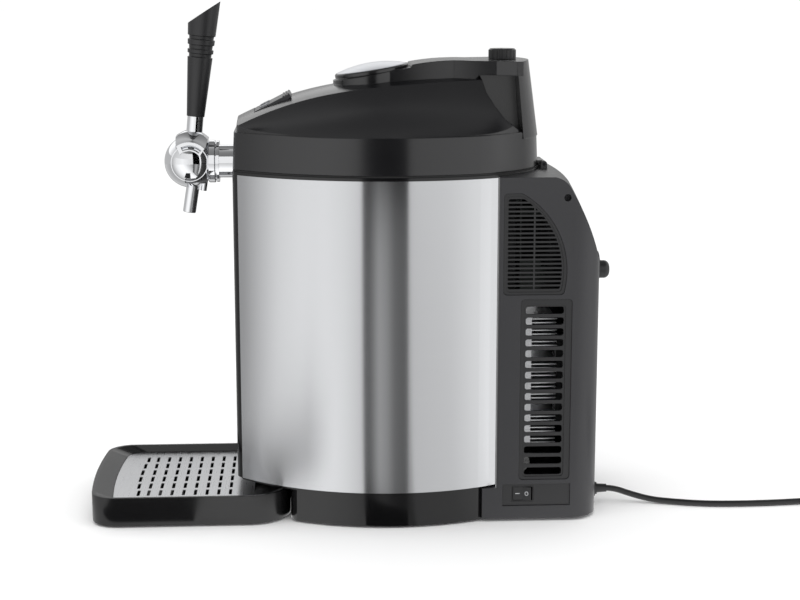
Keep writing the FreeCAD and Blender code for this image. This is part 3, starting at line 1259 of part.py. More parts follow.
def make_lid_controls():
    """Pieces that sit on the lid's crest: panel, buttons, lens, badge and gas tube."""
    spot = ("panel_axis", "0", "panel_height")
    half = "panel_length / 2"
    panel = Piece("panel")
    panel.pad("XY", "-panel_thickness", "panel_thickness",
              band(f"-({half})", half, "panel_width / 2"))
    for start in ("0.62", "0.76", "0.9"):
        panel.pad("XY", "0", "0.8", band(f"{half} * {start}", f"{half} * ({start} + 0.07)",
                                         "panel_width / 2 - 3"))
    panel.pocket("XY", "-lens_thickness", "5", band("lens_front", "lens_rear", "lens_half_width"))
    buttons = [("circle", "button_axis", side, "button_radius + fit_gap")
               for side in ("-button_spread", "button_spread")]
    flanges = [button[:3] + ("button_radius + 1.2 + fit_gap",) for button in buttons]
    panel.pocket("XY", "-(panel_thickness + 1)", "10", *buttons)
    panel.pocket("XY", "-(panel_thickness + 1)", "3.1", *flanges)
    panel.keep("control_panel", "-panel_tilt", spot)

    lens = Piece("lens")
    lens.pad("XY", "-lens_thickness", "lens_thickness",
             band("lens_front + seat_gap", "lens_rear - seat_gap", "lens_half_width - seat_gap"))
    lens.keep("display_lens", "-panel_tilt", spot)

    for label, side in (("button_minus", "-button_spread"), ("button_plus", "button_spread")):
        button = Piece(label + "_body")
        button.pad("XY", "-2.8", "0.6", ("circle", "button_axis", side, "button_radius + 1.2"))
        button.pad("XY", "-2.2", "3.2", ("circle", "button_axis", side, "button_radius"))
        half_bar = "button_radius * 0.45"
        bars = [rectangle(f"button_axis - 0.5", f"{side} - {half_bar}",
                          "button_axis + 0.5", f"{side} + {half_bar}")]
        button.pocket("XY", "0.6", "1", *bars)
        if label == "button_plus":
            button.pocket("XY", "0.6", "1", rectangle(
                f"button_axis - {half_bar}", f"{side} - 0.5", f"button_axis + {half_bar}",
                f"{side} + 0.5"))
        button.keep(label, "-panel_tilt", spot)

    spot = ("badge_axis", "0", "badge_height")
    rim = "badge_radius - badge_rim"
    carrier = Piece("badge")
    carrier.revolve([("0", "-badge_thickness"), ("badge_radius", "-badge_thickness"),
                     ("badge_radius", "-1"), ("badge_radius - 1", "0"), (rim, "0"),
                     (rim, "-badge_seat"), ("0", "-badge_seat")])
    carrier.keep("badge_carrier", "-badge_tilt", spot)
    disc = Piece("disc")
    edge = f"{rim} - seat_gap"
    disc.revolve([("0", "-badge_seat"), (edge, "-badge_seat"),
                  (edge, "0.4", f"(({edge}) ^ 2 + badge_dome ^ 2) / (2 * badge_dome)"),
                  ("0", "badge_dome + 0.4")])
    disc.keep("badge_disc", "-badge_tilt", spot)

    tube = Piece("gas_feed")
    low, bend = "liner_low - 6", "cartridge_start - 10"
    tube.pad("XY", low, "cartridge_height - liner_low + 6", ("circle", bend, "-24", "2"))
    tube.pad("YZ", bend, f"gas_knob_axis - ({bend})", ("circle", "-24", "cartridge_height", "2"))
    tube.pad("XZ", "-26", "26 - regulator_radius - 0.1",
             ("circle", "gas_knob_axis - 2", "cartridge_height", "2"))
    tube.keep("gas_tube")


# ---------------------------------------------------------------------------- tap
def ball_tool(name, radius="ball_radius"):
    tool = doc.addObject("Part::Sphere", name)
    bind(tool, "Radius", radius)
    return tool


def make_tap():
    spot = ("tap_axis", "0", "tap_height")
    sleeve_start, sleeve_end = "-(tap_axis) - tube_start", "-(tap_axis) - tube_end"
    collar_front = "-(tap_axis) - collar_end"
    ball = Piece("ball")
    ball.revolve([("0", "-ball_radius", "ball_radius"), ("ball_radius", "0", "ball_radius"),
                  ("0", "ball_radius")])
    for level in ("-ball_radius - 1", "ball_flat"):
        ball.pocket("XZ", level, "ball_radius - ball_flat + 1",
                    rectangle("-ball_radius - 1", "-ball_radius - 1", "ball_radius + 1",
                              "ball_radius + 1"))
    ball.slot("XZ", "ball_radius", ("circle", "0", "0", "spindle_radius + running_gap"))
    ball.pocket("YZ", "spindle_radius", "ball_radius", ("circle", "0", "0", "spout_bore"))
    ball.keep("tap_ball", at=spot)

    collar = Piece("collar")
    groove_start = f"{collar_front} + 7.1"
    collar.revolve([
        (collar_front, "tube_radius"), (f"{sleeve_start}", "tube_radius"),
        (sleeve_start, "collar_radius - 0.5"), (f"{groove_start} + 1", "collar_radius - 0.5"),
        (f"{groove_start} + 1", "collar_radius - 2.2"), (groove_start, "collar_radius - 2.2"),
        (groove_start, "collar_radius - 0.8"), (f"{groove_start} - 0.8", "collar_radius"),
        (f"{collar_front} + 0.8", "collar_radius"), (collar_front, "collar_radius - 0.8")],
        axis="H_Axis")
    keep(boolean("Cut", "tap_collar", collar, ball_tool("collar_seat")), "tap_collar", at=spot)

    tube = Piece("tube")
    tube.revolve([(collar_front, "line_radius + seat_gap"), (sleeve_end, "line_radius + seat_gap"),
                  (sleeve_end, "tube_radius"), (collar_front, "tube_radius")], axis="H_Axis")
    keep(boolean("Cut", "tap_tube", tube, ball_tool("tube_seat")), "tap_tube", at=spot)

    spout = Piece("spout")
    end = "spout_reach - spout_length"
    spout.revolve([("spout_bore", end), ("spout_radius - 0.5", end),
                   ("spout_radius", f"{end} + 0.5"), ("spout_radius", "14"), ("spout_bore", "14")])
    spout.pad("XY", "-1.6", "12", ("circle", "spout_radius + 4.4", "0", "3"))
    spout.pad("XY", "-1.6", "12", rectangle("spout_bore + 1", "-1.6", "spout_radius + 4.4", "1.6"))
    put(spout, "tap_axis + spout_offset", "0", "tap_height - spout_reach", "spout_tilt")
    spout_ball = ball_tool("spout_seat")
    put(spout_ball, "tap_axis", "0", "tap_height")
    keep(boolean("Cut", "tap_spout", spout, spout_ball), "tap_spout")

    line = Piece("line")
    line.revolve([("spindle_radius + 14", "line_bore"), ("line_reach", "line_bore"),
                  ("line_reach", "line_radius"), ("spindle_radius + 14", "line_radius")],
                 axis="H_Axis")
    keep(boolean("Cut", "beer_line", line, ball_tool("line_seat")), "beer_line", at=spot)

    arm = Piece("arm")
    arm.pad("XY", "arm_low", "arm_height", band("-tube_end", "keg_axis", "arm_half_width"))
    arm.pocket("YZ", "-(tube_end + 1)", "tube_end + keg_axis + 2",
               ("circle", "0", "tap_height", "line_radius + seat_gap"))
    socket = cylinder("arm_socket", "coupler_radius", "40", "keg_axis", "0", "coupler_low")
    keep(boolean("Cut", "tap_arm", arm, socket), "tap_arm")

    coupler = Piece("coupler")
    coupler.revolve([
        ("coupler_bore", "coupler_low"), ("coupler_radius - 1.5", "coupler_low"),
        ("coupler_radius - 1.5", "coupler_low + 6"), ("coupler_radius", "coupler_low + 7.5"),
        ("coupler_radius", "arm_low + arm_height"), ("0", "arm_low + arm_height"),
        ("0", "arm_low + arm_height - 2"), ("coupler_bore", "arm_low + arm_height - 2")])
    coupler.pocket("YZ", "-(coupler_radius + 1)", "coupler_radius + 1",
                   ("circle", "0", "tap_height", "line_radius + seat_gap"))
    coupler.keep("keg_coupler", at=("keg_axis", "0", "0"))


def grip(z):
    """Radius of the handle at a height above the ball's centre."""
    return f"grip_foot_radius + ({z} - grip_foot) * tan(grip_taper)"


def make_lever():
    spot = ("tap_axis", "0", "tap_height")
    spindle = Piece("spindle")
    start, dome = "(ball_flat + fit_gap)", "(ball_radius + fit_gap)"
    edge = f"sqrt({dome} ^ 2 - cap_radius ^ 2)"
    spindle.revolve([
        (f"-{dome}", "0"), (dome, "0", dome), (edge, "cap_radius"), (start, "cap_radius"),
        (start, "spindle_radius"), (f"-{start}", "spindle_radius"), (f"-{start}", "cap_radius"),
        (f"-{edge}", "cap_radius", dome)], "YZ", "H_Axis")
    spindle.keep("valve_spindle", "lever_tilt", spot)

    saddle = Piece("saddle")
    saddle.slab("XZ", "yoke_half_width", [
        ("7.8", "yoke_height"), ("-7.8", "yoke_height"), ("-15.7", "24.2"), ("-14.6", "17.5"),
        ("-9.6", "7.8", "-12.3"), ("9.6", "7.8"), ("14.6", "17.5"), ("15.7", "24.2")])
    dome = ball_tool("yoke_dome", "yoke_sphere")
    shaped = boolean("Common", "yoke_shaped", saddle, dome)
    inside = ball_tool("yoke_inside", "ball_radius + fit_gap")
    window = Piece("yoke_window")
    inner, outer = "(spindle_radius + 7.5)", "(spindle_radius + 11.8)"
    window.slab("XZ", "yoke_half_width + 1", [
        (f"{inner} * sin(38)", f"{inner} * cos(38)"), (f"{outer} * sin(38)", f"{outer} * cos(38)",
                                                      outer),
        (f"-{outer} * sin(32)", f"{outer} * cos(32)"), (f"-{inner} * sin(32)",
                                                       f"{inner} * cos(32)", f"-{inner}")])
    keep(boolean("Cut", "tap_yoke", shaped, inside, window), "tap_yoke", "lever_tilt", spot)

    stem = Piece("stem")
    stem.pad("XY", "yoke_height", "grip_foot - yoke_height",
             ("circle", "lever_offset", "0", "stem_radius"))
    stem.pad("XY", "grip_foot", "30", ("circle", "lever_offset", "0", "stem_radius - 2.5"))
    stem.keep("lever_stem", "lever_tilt", spot)

    handle = Piece("handle")
    core = "stem_radius - 2.5"
    outline = [(core, "grip_foot"), ("grip_foot_radius", "grip_foot")]
    for low, high in (("101.9", "106"), ("109.4", "114.2"), ("118.9", "123")):
        outline += [(grip(low), low), (f"{grip(low)} - grip_groove_depth", f"{low} + 0.6"),
                    (f"{grip(high)} - grip_groove_depth", f"{high} - 0.6"), (grip(high), high)]
    top = "grip_foot + grip_length + 6"
    outline += [(grip(top), top), ("0", top), ("0", "grip_foot + 30"), (core, "grip_foot + 30")]
    handle.revolve(outline)
    handle.slot("XZ", "30", [
        ("-30 - lever_offset", "133.8 - (30 - 12.7) * tan(grip_cut)"),
        ("40 - lever_offset", "157.2 + (40 - 16.95) * tan(grip_cut)"),
        ("-30 - lever_offset", "157.2 + (40 - 16.95) * tan(grip_cut)")])
    handle.keep("lever_handle", "lever_tilt",
                ("tap_axis + lever_offset * cos(lever_tilt)", "0",
                 "tap_height - lever_offset * sin(lever_tilt)"))


# ---------------------------------------------------------------------- drip tray
def tray_plan(inset="0", rear="-tray_rear"):
    """Plan of the tray, with a bowed front."""
    front = f"-(tray_front - tray_bow - ({inset}))"
    rear = f"({rear}) - ({inset})"
    half = f"tray_half_width - ({inset})"
    turn, back = f"(tray_corner - ({inset}))", f"(tray_rear_corner - ({inset}))"
    edge = f"({half} - {turn})"
    bow = f"({edge} ^ 2 + tray_bow ^ 2) / (2 * tray_bow)"
    return [(front, f"-{edge}", turn), (f"{front} + {turn}", f"-({half})"),
            (f"{rear} - {back}", f"-({half})", back), (rear, f"-({half} - {back})"),
            (rear, f"{half} - {back}", back), (f"{rear} - {back}", half),
            (f"{front} + {turn}", half, turn), (front, edge, bow)]


def plate_plan(inset="0", rear="-plate_rear"):
    """Plan of the drip plate, with a bowed front."""
    half, turn = f"(plate_half_width - ({inset}))", f"(plate_corner - ({inset}))"
    edge = f"({half} - {turn})"
    front = f"-(plate_front - ({inset}) - {edge} ^ 2 / (2 * plate_bow))"
    rear = f"({rear}) - ({inset})"
    back = f"({half} - 4)"
    return [(front, f"-{edge}", turn), (f"{front} + {turn}", f"-{half}"),
            (f"{rear} - 4", f"-{half}", "4"), (rear, f"-{back}"),
            (rear, back, "4"), (f"{rear} - 4", half),
            (f"{front} + {turn}", half, turn), (front, edge, "plate_bow")]


def slots(column, *bend):
    """One column of six drip slots; bend shifts them in pairs from the outside in."""
    outlines = []
    for row in range(6):
        y = f"slot_row_pitch * {row - 2.5}"
        x = f"({column}) + {bend[min(row, 5 - row)]}" if bend else f"({column})"
        outlines.append(rounded(f"{x} - slot_width / 2", f"{y} - slot_length / 2",
                                f"{x} + slot_width / 2", f"{y} + slot_length / 2",
                                "slot_width * 0.35"))
    return outlines


def make_tray():
    tray = Piece("tray")
    tray.pad("XY", "foot_height", "tray_top - foot_height", tray_plan())
    seat = "plate_low - fit_gap"
    tray.loft([("XY", "plate_top", plate_plan("-fit_gap")),
               ("XY", "tray_top + 0.2", tray_plan("tray_rim"))], cut=True)
    tray.pocket("XY", seat, "20", plate_plan("-fit_gap"))
    tray.pocket("XY", "foot_height + wall", "40",
                plate_plan("plate_ledge", "-(rib_start - plate_ledge)"))
    tray.pocket("XY", "foot_height + wall", "40",
                band("-(rib_start - rib_width)", "-(tray_rear + tray_rim)",
                     "tray_half_width - tray_rear_corner"))
    tray.pad("XY", "tongue_low", "tongue_high - tongue_low",
             band("-(tray_rear + 0.5)", "tongue_length - tray_rear", "tongue_half_width"))
    tray.pad("XY", "0", "foot_height",
             *[("circle", x, y, "foot_radius - 1") for x in ("-(tray_front - 34)", "-(tray_rear + 34)")
               for y in ("-(tray_half_width - 30)", "tray_half_width - 30")])
    tray.keep("drip_tray")

    plate = Piece("plate")
    plate.pad("XY", "plate_low", "plate_thickness", plate_plan())
    last = "-(last_column + 7 * slot_column_pitch)"
    first = plate.pocket("XY", "plate_low - 1", "4", *slots(last))
    plate.row(first, "H_Axis", "slot_column_pitch", "slot_columns")
    plate.pocket("XY", "plate_low - 1", "4", *slots(f"{last} - slot_column_pitch", "1.6", "0", "-0.7"))
    plate.keep("drip_plate")


# ---------------------------------------------------------------------- mains lead
ROUTE = [
    # x, y, z of the lead's middle, from the strain relief to the coil
    ("gland_tip - 3", "gland_side", "gland_height"), ("gland_tip + 7", "gland_side", "gland_height"),
    ("gland_tip + 24", "-41.5", "9"), ("gland_tip + 45", "-45", "cord_low + 0.5"),
    ("283", "-52", "cord_low"), ("310", "-60", "cord_low"), ("345", "-61.5", "cord_low"),
    ("385", "-57", "cord_low"), ("425", "-60", "cord_low"),
    ("coil_axis - 14", "coil_side + coil_radius", "cord_low"),
]


def lead_wire(points):
    """Straight runs joined by tangent arcs, and the arcs' radii."""
    edges, radii, last = [], [], points[0]
    for before, corner, after in zip(points, points[1:], points[2:]):
        back, ahead = before.sub(corner), after.sub(corner)
        turn = math.pi - back.getAngle(ahead)
        reach = 0.45 * min(back.Length, ahead.Length)
        start = corner + back.normalize() * reach
        end = corner + ahead.normalize() * reach
        radius = reach / math.tan(turn / 2)
        radii.append(radius)
        bisector = (back + ahead).normalize()
        middle = corner + bisector * (radius / math.cos(turn / 2) - radius)
        edges += [Part.LineSegment(last, start).toShape(), Part.Arc(start, middle, end).toShape()]
        last = end
    edges.append(Part.LineSegment(last, points[-1]).toShape())
    return Part.Wire(edges), radii


def make_lead():
    points = [Vector(*(size(value) for value in point)) for point in ROUTE]
    wire, radii = lead_wire(points)
    ring = Part.Circle(points[0], points[1].sub(points[0]), size("cord_radius"))
    lead = doc.addObject("Part::Feature", "lead")
    lead.Shape = wire.makePipeShell([Part.Wire(ring.toShape())], True, False)
    print("lead length", round(wire.Length, 1), "radii", [round(radius, 1) for radius in radii])
    print("lead volume", round(lead.Shape.Volume), "expected",
          round(wire.Length * math.pi * size("cord_radius") ** 2))
    keep(lead, "power_cord")

    coil = Piece("coil")
    half, step = "coil_band / 2", "coil_band / 3"
    outline = []
    for side in range(4):
        for turn in range(6):
            along = f"({turn} * {step} / 2 - {half})"
            out = f"({half} + {step} * 0.3)" if turn % 2 else f"({half})"
            x, z = [(along, f"-{out}"), (out, along), (f"-{along}", out), (f"-{out}", f"-{along}")][side]
            outline.append((f"coil_radius + {x}", f"{z} + {half} + {step} * 0.3"))
    coil.revolve(outline)
    coil.keep("cord_coil", at=("coil_axis", "coil_side", "0"))

    plug = Piece("plug")
    plug.revolve([("0", "0"), ("0", "cord_radius + 3"), ("-6", "cord_radius + 4"),
                  ("-(plug_length * 0.55)", "plug_radius"), ("-(plug_length - 1)", "plug_radius"),
                  ("-plug_length", "plug_radius - 1"), ("-plug_length", "0")], "YZ", "H_Axis")
    plug.pad("XZ", "-(plug_length + 19)", "19", ("circle", "-9.5", "0", "2.4"),
             ("circle", "9.5", "0", "2.4"))
    plug.keep("cord_plug", at=("coil_axis + coil_radius + 5", "coil_side - 20",
                               "plug_radius + 0.1"))


# --------------------------------------------------------------------------- build
make_base()
make_drum()
make_well()
make_housing()
make_vents()
make_housing_fittings()
make_cooling()
make_lid()
make_lid_fittings()
make_lid_controls()
make_tap()
make_lever()
make_tray()
make_lead()
doc.recompute()

for thing in doc.Objects:
    if "Invalid" in thing.State or "Error" in thing.State:
        raise RuntimeError(f"{thing.Name} ({thing.Label}) did not build: {thing.State}")
for body, feature in cuts:
    before = feature.BaseFeature.Shape.Volume if feature.BaseFeature else 0
    if before and before - feature.Shape.Volume < 0.01:
        raise RuntimeError(f"{feature.Name} in {body.Name} takes nothing away")

os.makedirs("parts", exist_ok=True)
for label, thing in kept.items():
    if thing.Shape.isNull() or not thing.Shape.isValid() or not thing.Shape.Solids:
        raise RuntimeError(f"{label} has no valid solid")
    thing.Shape.exportStep(f"parts/{label}.step")
    print(f"{label}: {len(thing.Shape.Solids)} solid(s), {thing.Shape.Volume / 1000:.2f} cm3")
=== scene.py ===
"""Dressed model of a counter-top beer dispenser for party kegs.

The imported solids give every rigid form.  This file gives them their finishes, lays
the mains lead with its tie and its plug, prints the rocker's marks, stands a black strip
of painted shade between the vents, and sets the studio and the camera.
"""

from __future__ import annotations

import json
import logging
import math
from dataclasses import dataclass
from enum import Enum
from typing import Any, Iterable, Mapping, Sequence

import bpy
from mathutils import Matrix, Vector

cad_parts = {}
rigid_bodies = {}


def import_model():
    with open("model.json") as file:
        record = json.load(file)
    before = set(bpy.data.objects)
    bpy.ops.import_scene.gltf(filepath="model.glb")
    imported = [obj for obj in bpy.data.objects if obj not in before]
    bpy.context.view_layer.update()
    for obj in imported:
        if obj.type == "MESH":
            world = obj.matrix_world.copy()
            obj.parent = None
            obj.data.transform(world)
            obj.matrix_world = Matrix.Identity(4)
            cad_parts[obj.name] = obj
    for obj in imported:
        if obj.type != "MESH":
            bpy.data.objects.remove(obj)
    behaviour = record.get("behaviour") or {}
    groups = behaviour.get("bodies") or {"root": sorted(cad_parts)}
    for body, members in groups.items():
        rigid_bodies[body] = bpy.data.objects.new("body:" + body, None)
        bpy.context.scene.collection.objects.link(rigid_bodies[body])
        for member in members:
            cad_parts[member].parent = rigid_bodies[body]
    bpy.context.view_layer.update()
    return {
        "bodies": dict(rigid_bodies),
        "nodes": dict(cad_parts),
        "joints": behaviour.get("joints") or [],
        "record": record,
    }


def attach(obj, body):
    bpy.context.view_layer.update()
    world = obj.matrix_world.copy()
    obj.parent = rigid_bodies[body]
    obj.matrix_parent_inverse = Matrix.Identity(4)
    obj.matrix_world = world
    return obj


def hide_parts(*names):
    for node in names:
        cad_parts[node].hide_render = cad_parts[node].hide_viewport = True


LOG = logging.getLogger("beer_dispenser")
MM = 0.001
# from the drum's axis to the middle of the standing length
AXIS_SHIFT = 38.5 * MM
# constants of the sRGB curve
SRGB_KNEE, SRGB_SLOPE, SRGB_OFFSET, SRGB_POWER = 0.04045, 12.92, 0.055, 2.4
# usual range of a noise pattern, and the least roughness that a pattern may reach
PATTERN_LOW, PATTERN_HIGH, SMOOTHEST = 0.3, 0.7, 0.01
# the loaded frame, filled by main()
FRAME: dict[str, Any] = {}


# ------------------------------------------------------------------------ helpers
def linear(colour: str) -> tuple[float, float, float, float]:
    """Turn an sRGB hex colour into linear light.

    Args:
        colour: six hex digits after a hash.

    Returns:
        Red, green, blue and alpha, linear.
    """
    parts = [int(colour[i : i + 2], 16) / 255 for i in (1, 3, 5)]
    red, green, blue = (
        part / SRGB_SLOPE
        if part <= SRGB_KNEE
        else ((part + SRGB_OFFSET) / (1 + SRGB_OFFSET)) ** SRGB_POWER
        for part in parts
    )
    return (red, green, blue, 1.0)


def add_node(
    tree: bpy.types.NodeTree,
    kind: str,
    inputs: Mapping[str | int, Any] | None = None,
    **settings: Any,
) -> bpy.types.Node:
    """Add one node, set it up and link it.

    Args:
        tree: node tree that takes the node.
        kind: Blender's type name of the node.
        inputs: socket name or number to a value, or to an output socket to link.
        settings: attributes of the node.

    Returns:
        The new node.
    """
    node = tree.nodes.new(kind)
    for name, value in settings.items():
        setattr(node, name, value)
    for name, value in (inputs or {}).items():
        socket = node.inputs[name]
        if isinstance(value, bpy.types.NodeSocket):
            tree.links.new(value, socket)
        else:
            socket.default_value = value
    return node


def add_noise(
    tree: bpy.types.NodeTree,
    where: bpy.types.NodeSocket,
    scale: float,
    detail: float,
    raggedness: float = 0.5,
) -> bpy.types.NodeSocket:
    """Add a noise pattern.

    Args:
        tree: node tree that takes the node.
        where: output socket of the coordinates.
        scale: cells per metre.
        detail: layers of finer noise.
        raggedness: how much the finer layers weigh.

    Returns:
        Output socket of the pattern, from about 0.3 to 0.7.
    """
    inputs = {"Vector": where, "Scale": scale, "Detail": detail, "Roughness": raggedness}
    return add_node(tree, "ShaderNodeTexNoise", inputs).outputs["Fac"]


def add_bump(
    tree: bpy.types.NodeTree,
    height: bpy.types.NodeSocket,
    depth: float,
    strength: float,
    **settings: Any,
) -> bpy.types.Node:
    """Add a bump that follows a pattern.

    Args:
        tree: node tree that takes the node.
        height: output socket of the pattern.
        depth: depth of the relief in mm.
        strength: share of the relief that is used.
        settings: attributes of the node.

    Returns:
        The bump node.
    """
    inputs = {"Height": height, "Distance": depth * MM, "Strength": strength}
    return add_node(tree, "ShaderNodeBump", inputs, **settings)


def set_ramp(node: bpy.types.Node, stops: Sequence[tuple[float, float]]) -> None:
    """Give a grey ramp its stops.

    Args:
        node: colour ramp node.
        stops: place from 0 to 1, and linear grey from 0 to 1.
    """
    elements = node.color_ramp.elements
    while len(elements) < len(stops):
        elements.new(0.5)
    for element, (place, grey) in zip(elements, stops):
        element.position = place
        element.color = (grey, grey, grey, 1.0)


def dress(names: Iterable[str], material: bpy.types.Material) -> None:
    """Give CAD nodes one finish.

    Args:
        names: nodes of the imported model.
        material: finish for all of them.
    """
    for name in names:
        node = FRAME["nodes"][name]
        node.data.materials.clear()
        node.data.materials.append(material)
        LOG.info("dressed %s as %s", name, material.name)


def in_row(point: Vector) -> Vector:
    """Turn a point in mm about the drum's axis into the row frame.

    Args:
        point: place in mm.

    Returns:
        The place in metres.
    """
    return Vector((point.x * MM + AXIS_SHIFT, point.y * MM, point.z * MM))


def new_mesh(
    name: str,
    vertices: Sequence[Sequence[float]],
    faces: Sequence[Sequence[int]],
    smooth: bool = True,
) -> bpy.types.Object:
    """Make a mesh piece in the scene.

    Args:
        name: piece name.
        vertices: corners in metres.
        faces: corner numbers of each face.
        smooth: shade smoothly.

    Returns:
        The new object.
    """
    mesh = bpy.data.meshes.new(name)
    mesh.from_pydata([tuple(v) for v in vertices], [], [tuple(f) for f in faces])
    mesh.validate()
    mesh.polygons.foreach_set("use_smooth", [smooth] * len(mesh.polygons))
    piece = bpy.data.objects.new(name, mesh)
    bpy.context.scene.collection.objects.link(piece)
    return piece


def lathe(
    name: str, profile: Sequence[tuple[float, float]], place: Matrix, steps: int = 96
) -> bpy.types.Object:
    """Turn a profile round its own axis and put it in place.

    Args:
        name: piece name.
        profile: distance along the axis and radius, in metres, axis to axis.
        place: matrix from the lathe's frame, axis along +Z, to the row frame.
        steps: divisions of a turn.

    Returns:
        The new object.
    """
    vertices: list[Vector] = []
    faces: list[tuple[int, ...]] = []
    for height, radius in profile:
        for step in range(steps):
            angle = 2 * math.pi * step / steps
            vertices.append(
                place @ Vector((radius * math.cos(angle), radius * math.sin(angle), height))
            )
    for ring in range(len(profile) - 1):
        for step in range(steps):
            after = (step + 1) % steps
            low, high = ring * steps, (ring + 1) * steps
            faces.append((low + step, low + after, high + after, high + step))
    return new_mesh(name, vertices, faces)


# ----------------------------------------------------------------------- finishes
class Grain(Enum):
    """Direction of a belt-ground finish: how far each axis is stretched."""

    ROUND = (0.004, 0.004, 1.0)
    CROSSWISE = (1.0, 0.02, 1.0)


@dataclass(frozen=True)
class Finish:
    """One real material and the way its surface was made."""

    name: str
    colour: str
    roughness: float
    metallic: float = 0.0
    ior: float = 1.5
    coat: float = 0.0
    edge: float = 0.5  # softness of the edges in mm
    drift: float = 0.03  # change of roughness from handling
    tone: float = 0.06  # change of brightness across the surface
    smudge: tuple[float, float] = (30.0, 5.0)  # scale and detail of that change
    coat_roughness: float = 0.12
    bevel_samples: int = 4

    def shader(self, tree: bpy.types.NodeTree) -> bpy.types.Node:
        """Add the main shader, its constants set on its own sockets.

        Args:
            tree: material's node tree.

        Returns:
            The Principled node.
        """
        shader = add_node(
            tree,
            "ShaderNodeBsdfPrincipled",
            {
                "Base Color": linear(self.colour),
                "Roughness": self.roughness,
                "Metallic": self.metallic,
                "Coat Weight": self.coat,
                "Coat Roughness": self.coat_roughness,
            },
        )
        if not self.metallic:
            shader.inputs["IOR"].default_value = self.ior
        return shader

    def vary(
        self, tree: bpy.types.NodeTree, shader: bpy.types.Node, value: bpy.types.NodeSocket
    ) -> None:
        """Let a pattern move the roughness and the tone a little.

        Args:
            tree: material's node tree.
            shader: the Principled node.
            value: pattern from about 0.3 to 0.7.
        """
        rough = add_node(
            tree,
            "ShaderNodeMapRange",
            {
                "Value": value,
                "From Min": PATTERN_LOW,
                "From Max": PATTERN_HIGH,
                "To Min": max(SMOOTHEST, self.roughness - self.drift),
                "To Max": self.roughness + self.drift,
            },
        )
        tree.links.new(rough.outputs["Result"], shader.inputs["Roughness"])
        base = linear(self.colour)[:3]
        tone = add_node(tree, "ShaderNodeMix", {"Factor": value}, data_type="RGBA")
        for name, gain in (("A", 1 - self.tone), ("B", 1 + self.tone)):
            shade = tuple(min(1.0, part * gain) for part in base)
            tone.inputs[name].default_value = (*shade, 1.0)
        tree.links.new(tone.outputs["Result"], shader.inputs["Base Color"])

    def soften(self, tree: bpy.types.NodeTree) -> bpy.types.NodeSocket:
        """Round the edges a little.

        Args:
            tree: material's node tree.

        Returns:
            Output socket of the softened normal.
        """
        radius = {"Radius": self.edge * MM}
        soft = add_node(tree, "ShaderNodeBevel", radius, samples=self.bevel_samples)
        return soft.outputs["Normal"]

    def relief(self, tree: bpy.types.NodeTree, shader: bpy.types.Node) -> None:
        """Soften the edges and add a slow drift of gloss from handling.

        Args:
            tree: material's node tree.
            shader: the Principled node.
        """
        where = add_node(tree, "ShaderNodeTexCoord").outputs["Object"]
        self.vary(tree, shader, add_noise(tree, where, *self.smudge))
        tree.links.new(self.soften(tree), shader.inputs["Normal"])

    def make(self) -> bpy.types.Material:
        """Build the material.

        Returns:
            The finished material.
        """
        material = bpy.data.materials.new(self.name)
        material.use_nodes = True
        material.diffuse_color = linear(self.colour)
        tree = material.node_tree
        tree.nodes.clear()
        shader = self.shader(tree)
        self.relief(tree, shader)
        add_node(tree, "ShaderNodeOutputMaterial", {"Surface": shader.outputs["BSDF"]})
        return material


@dataclass(frozen=True)
class Moulded(Finish):
    """Injection-moulded plastic with a spark-eroded grain, which breaks up highlights."""

    grain: float = 0.45  # grain width in mm
    depth: float = 0.02  # grain depth in mm
    strength: float = 0.7  # share of the bump
    detail: float = 3.0
    raggedness: float = 0.6
    smudge: tuple[float, float] = (22.0, 4.0)

    def relief(self, tree: bpy.types.NodeTree, shader: bpy.types.Node) -> None:
        """Add a fine grain as bump, soft edges, and a slow drift of gloss from handling.

        Args:
            tree: material's node tree.
            shader: the Principled node.
        """
        where = add_node(tree, "ShaderNodeTexCoord").outputs["Object"]
        scale = 1000 / (self.grain * 2)
        grain = add_noise(tree, where, scale, self.detail, self.raggedness)
        bump = add_bump(tree, grain, self.depth, self.strength)
        tree.links.new(self.soften(tree), bump.inputs["Normal"])
        tree.links.new(bump.outputs["Normal"], shader.inputs["Normal"])
        self.vary(tree, shader, add_noise(tree, where, *self.smudge))


@dataclass(frozen=True)
class Beaded(Finish):
    """Foam moulded from steam-fused beads, whose outlines stay visible."""

    bead: float = 3.5  # bead width in mm
    depth: float = 0.25  # depth of the joints in mm
    strength: float = 0.8  # share of the bump

    def relief(self, tree: bpy.types.NodeTree, shader: bpy.types.Node) -> None:
        """Add rounded cells with dark joints.

        Args:
            tree: material's node tree.
            shader: the Principled node.
        """
        where = add_node(tree, "ShaderNodeTexCoord").outputs["Object"]
        inputs = {"Vector": where, "Scale": 1000 / self.bead}
        beads = add_node(tree, "ShaderNodeTexVoronoi", inputs).outputs["Distance"]
        bump = add_bump(tree, beads, self.depth, self.strength, invert=True)
        tree.links.new(bump.outputs["Normal"], shader.inputs["Normal"])
        self.vary(tree, shader, beads)


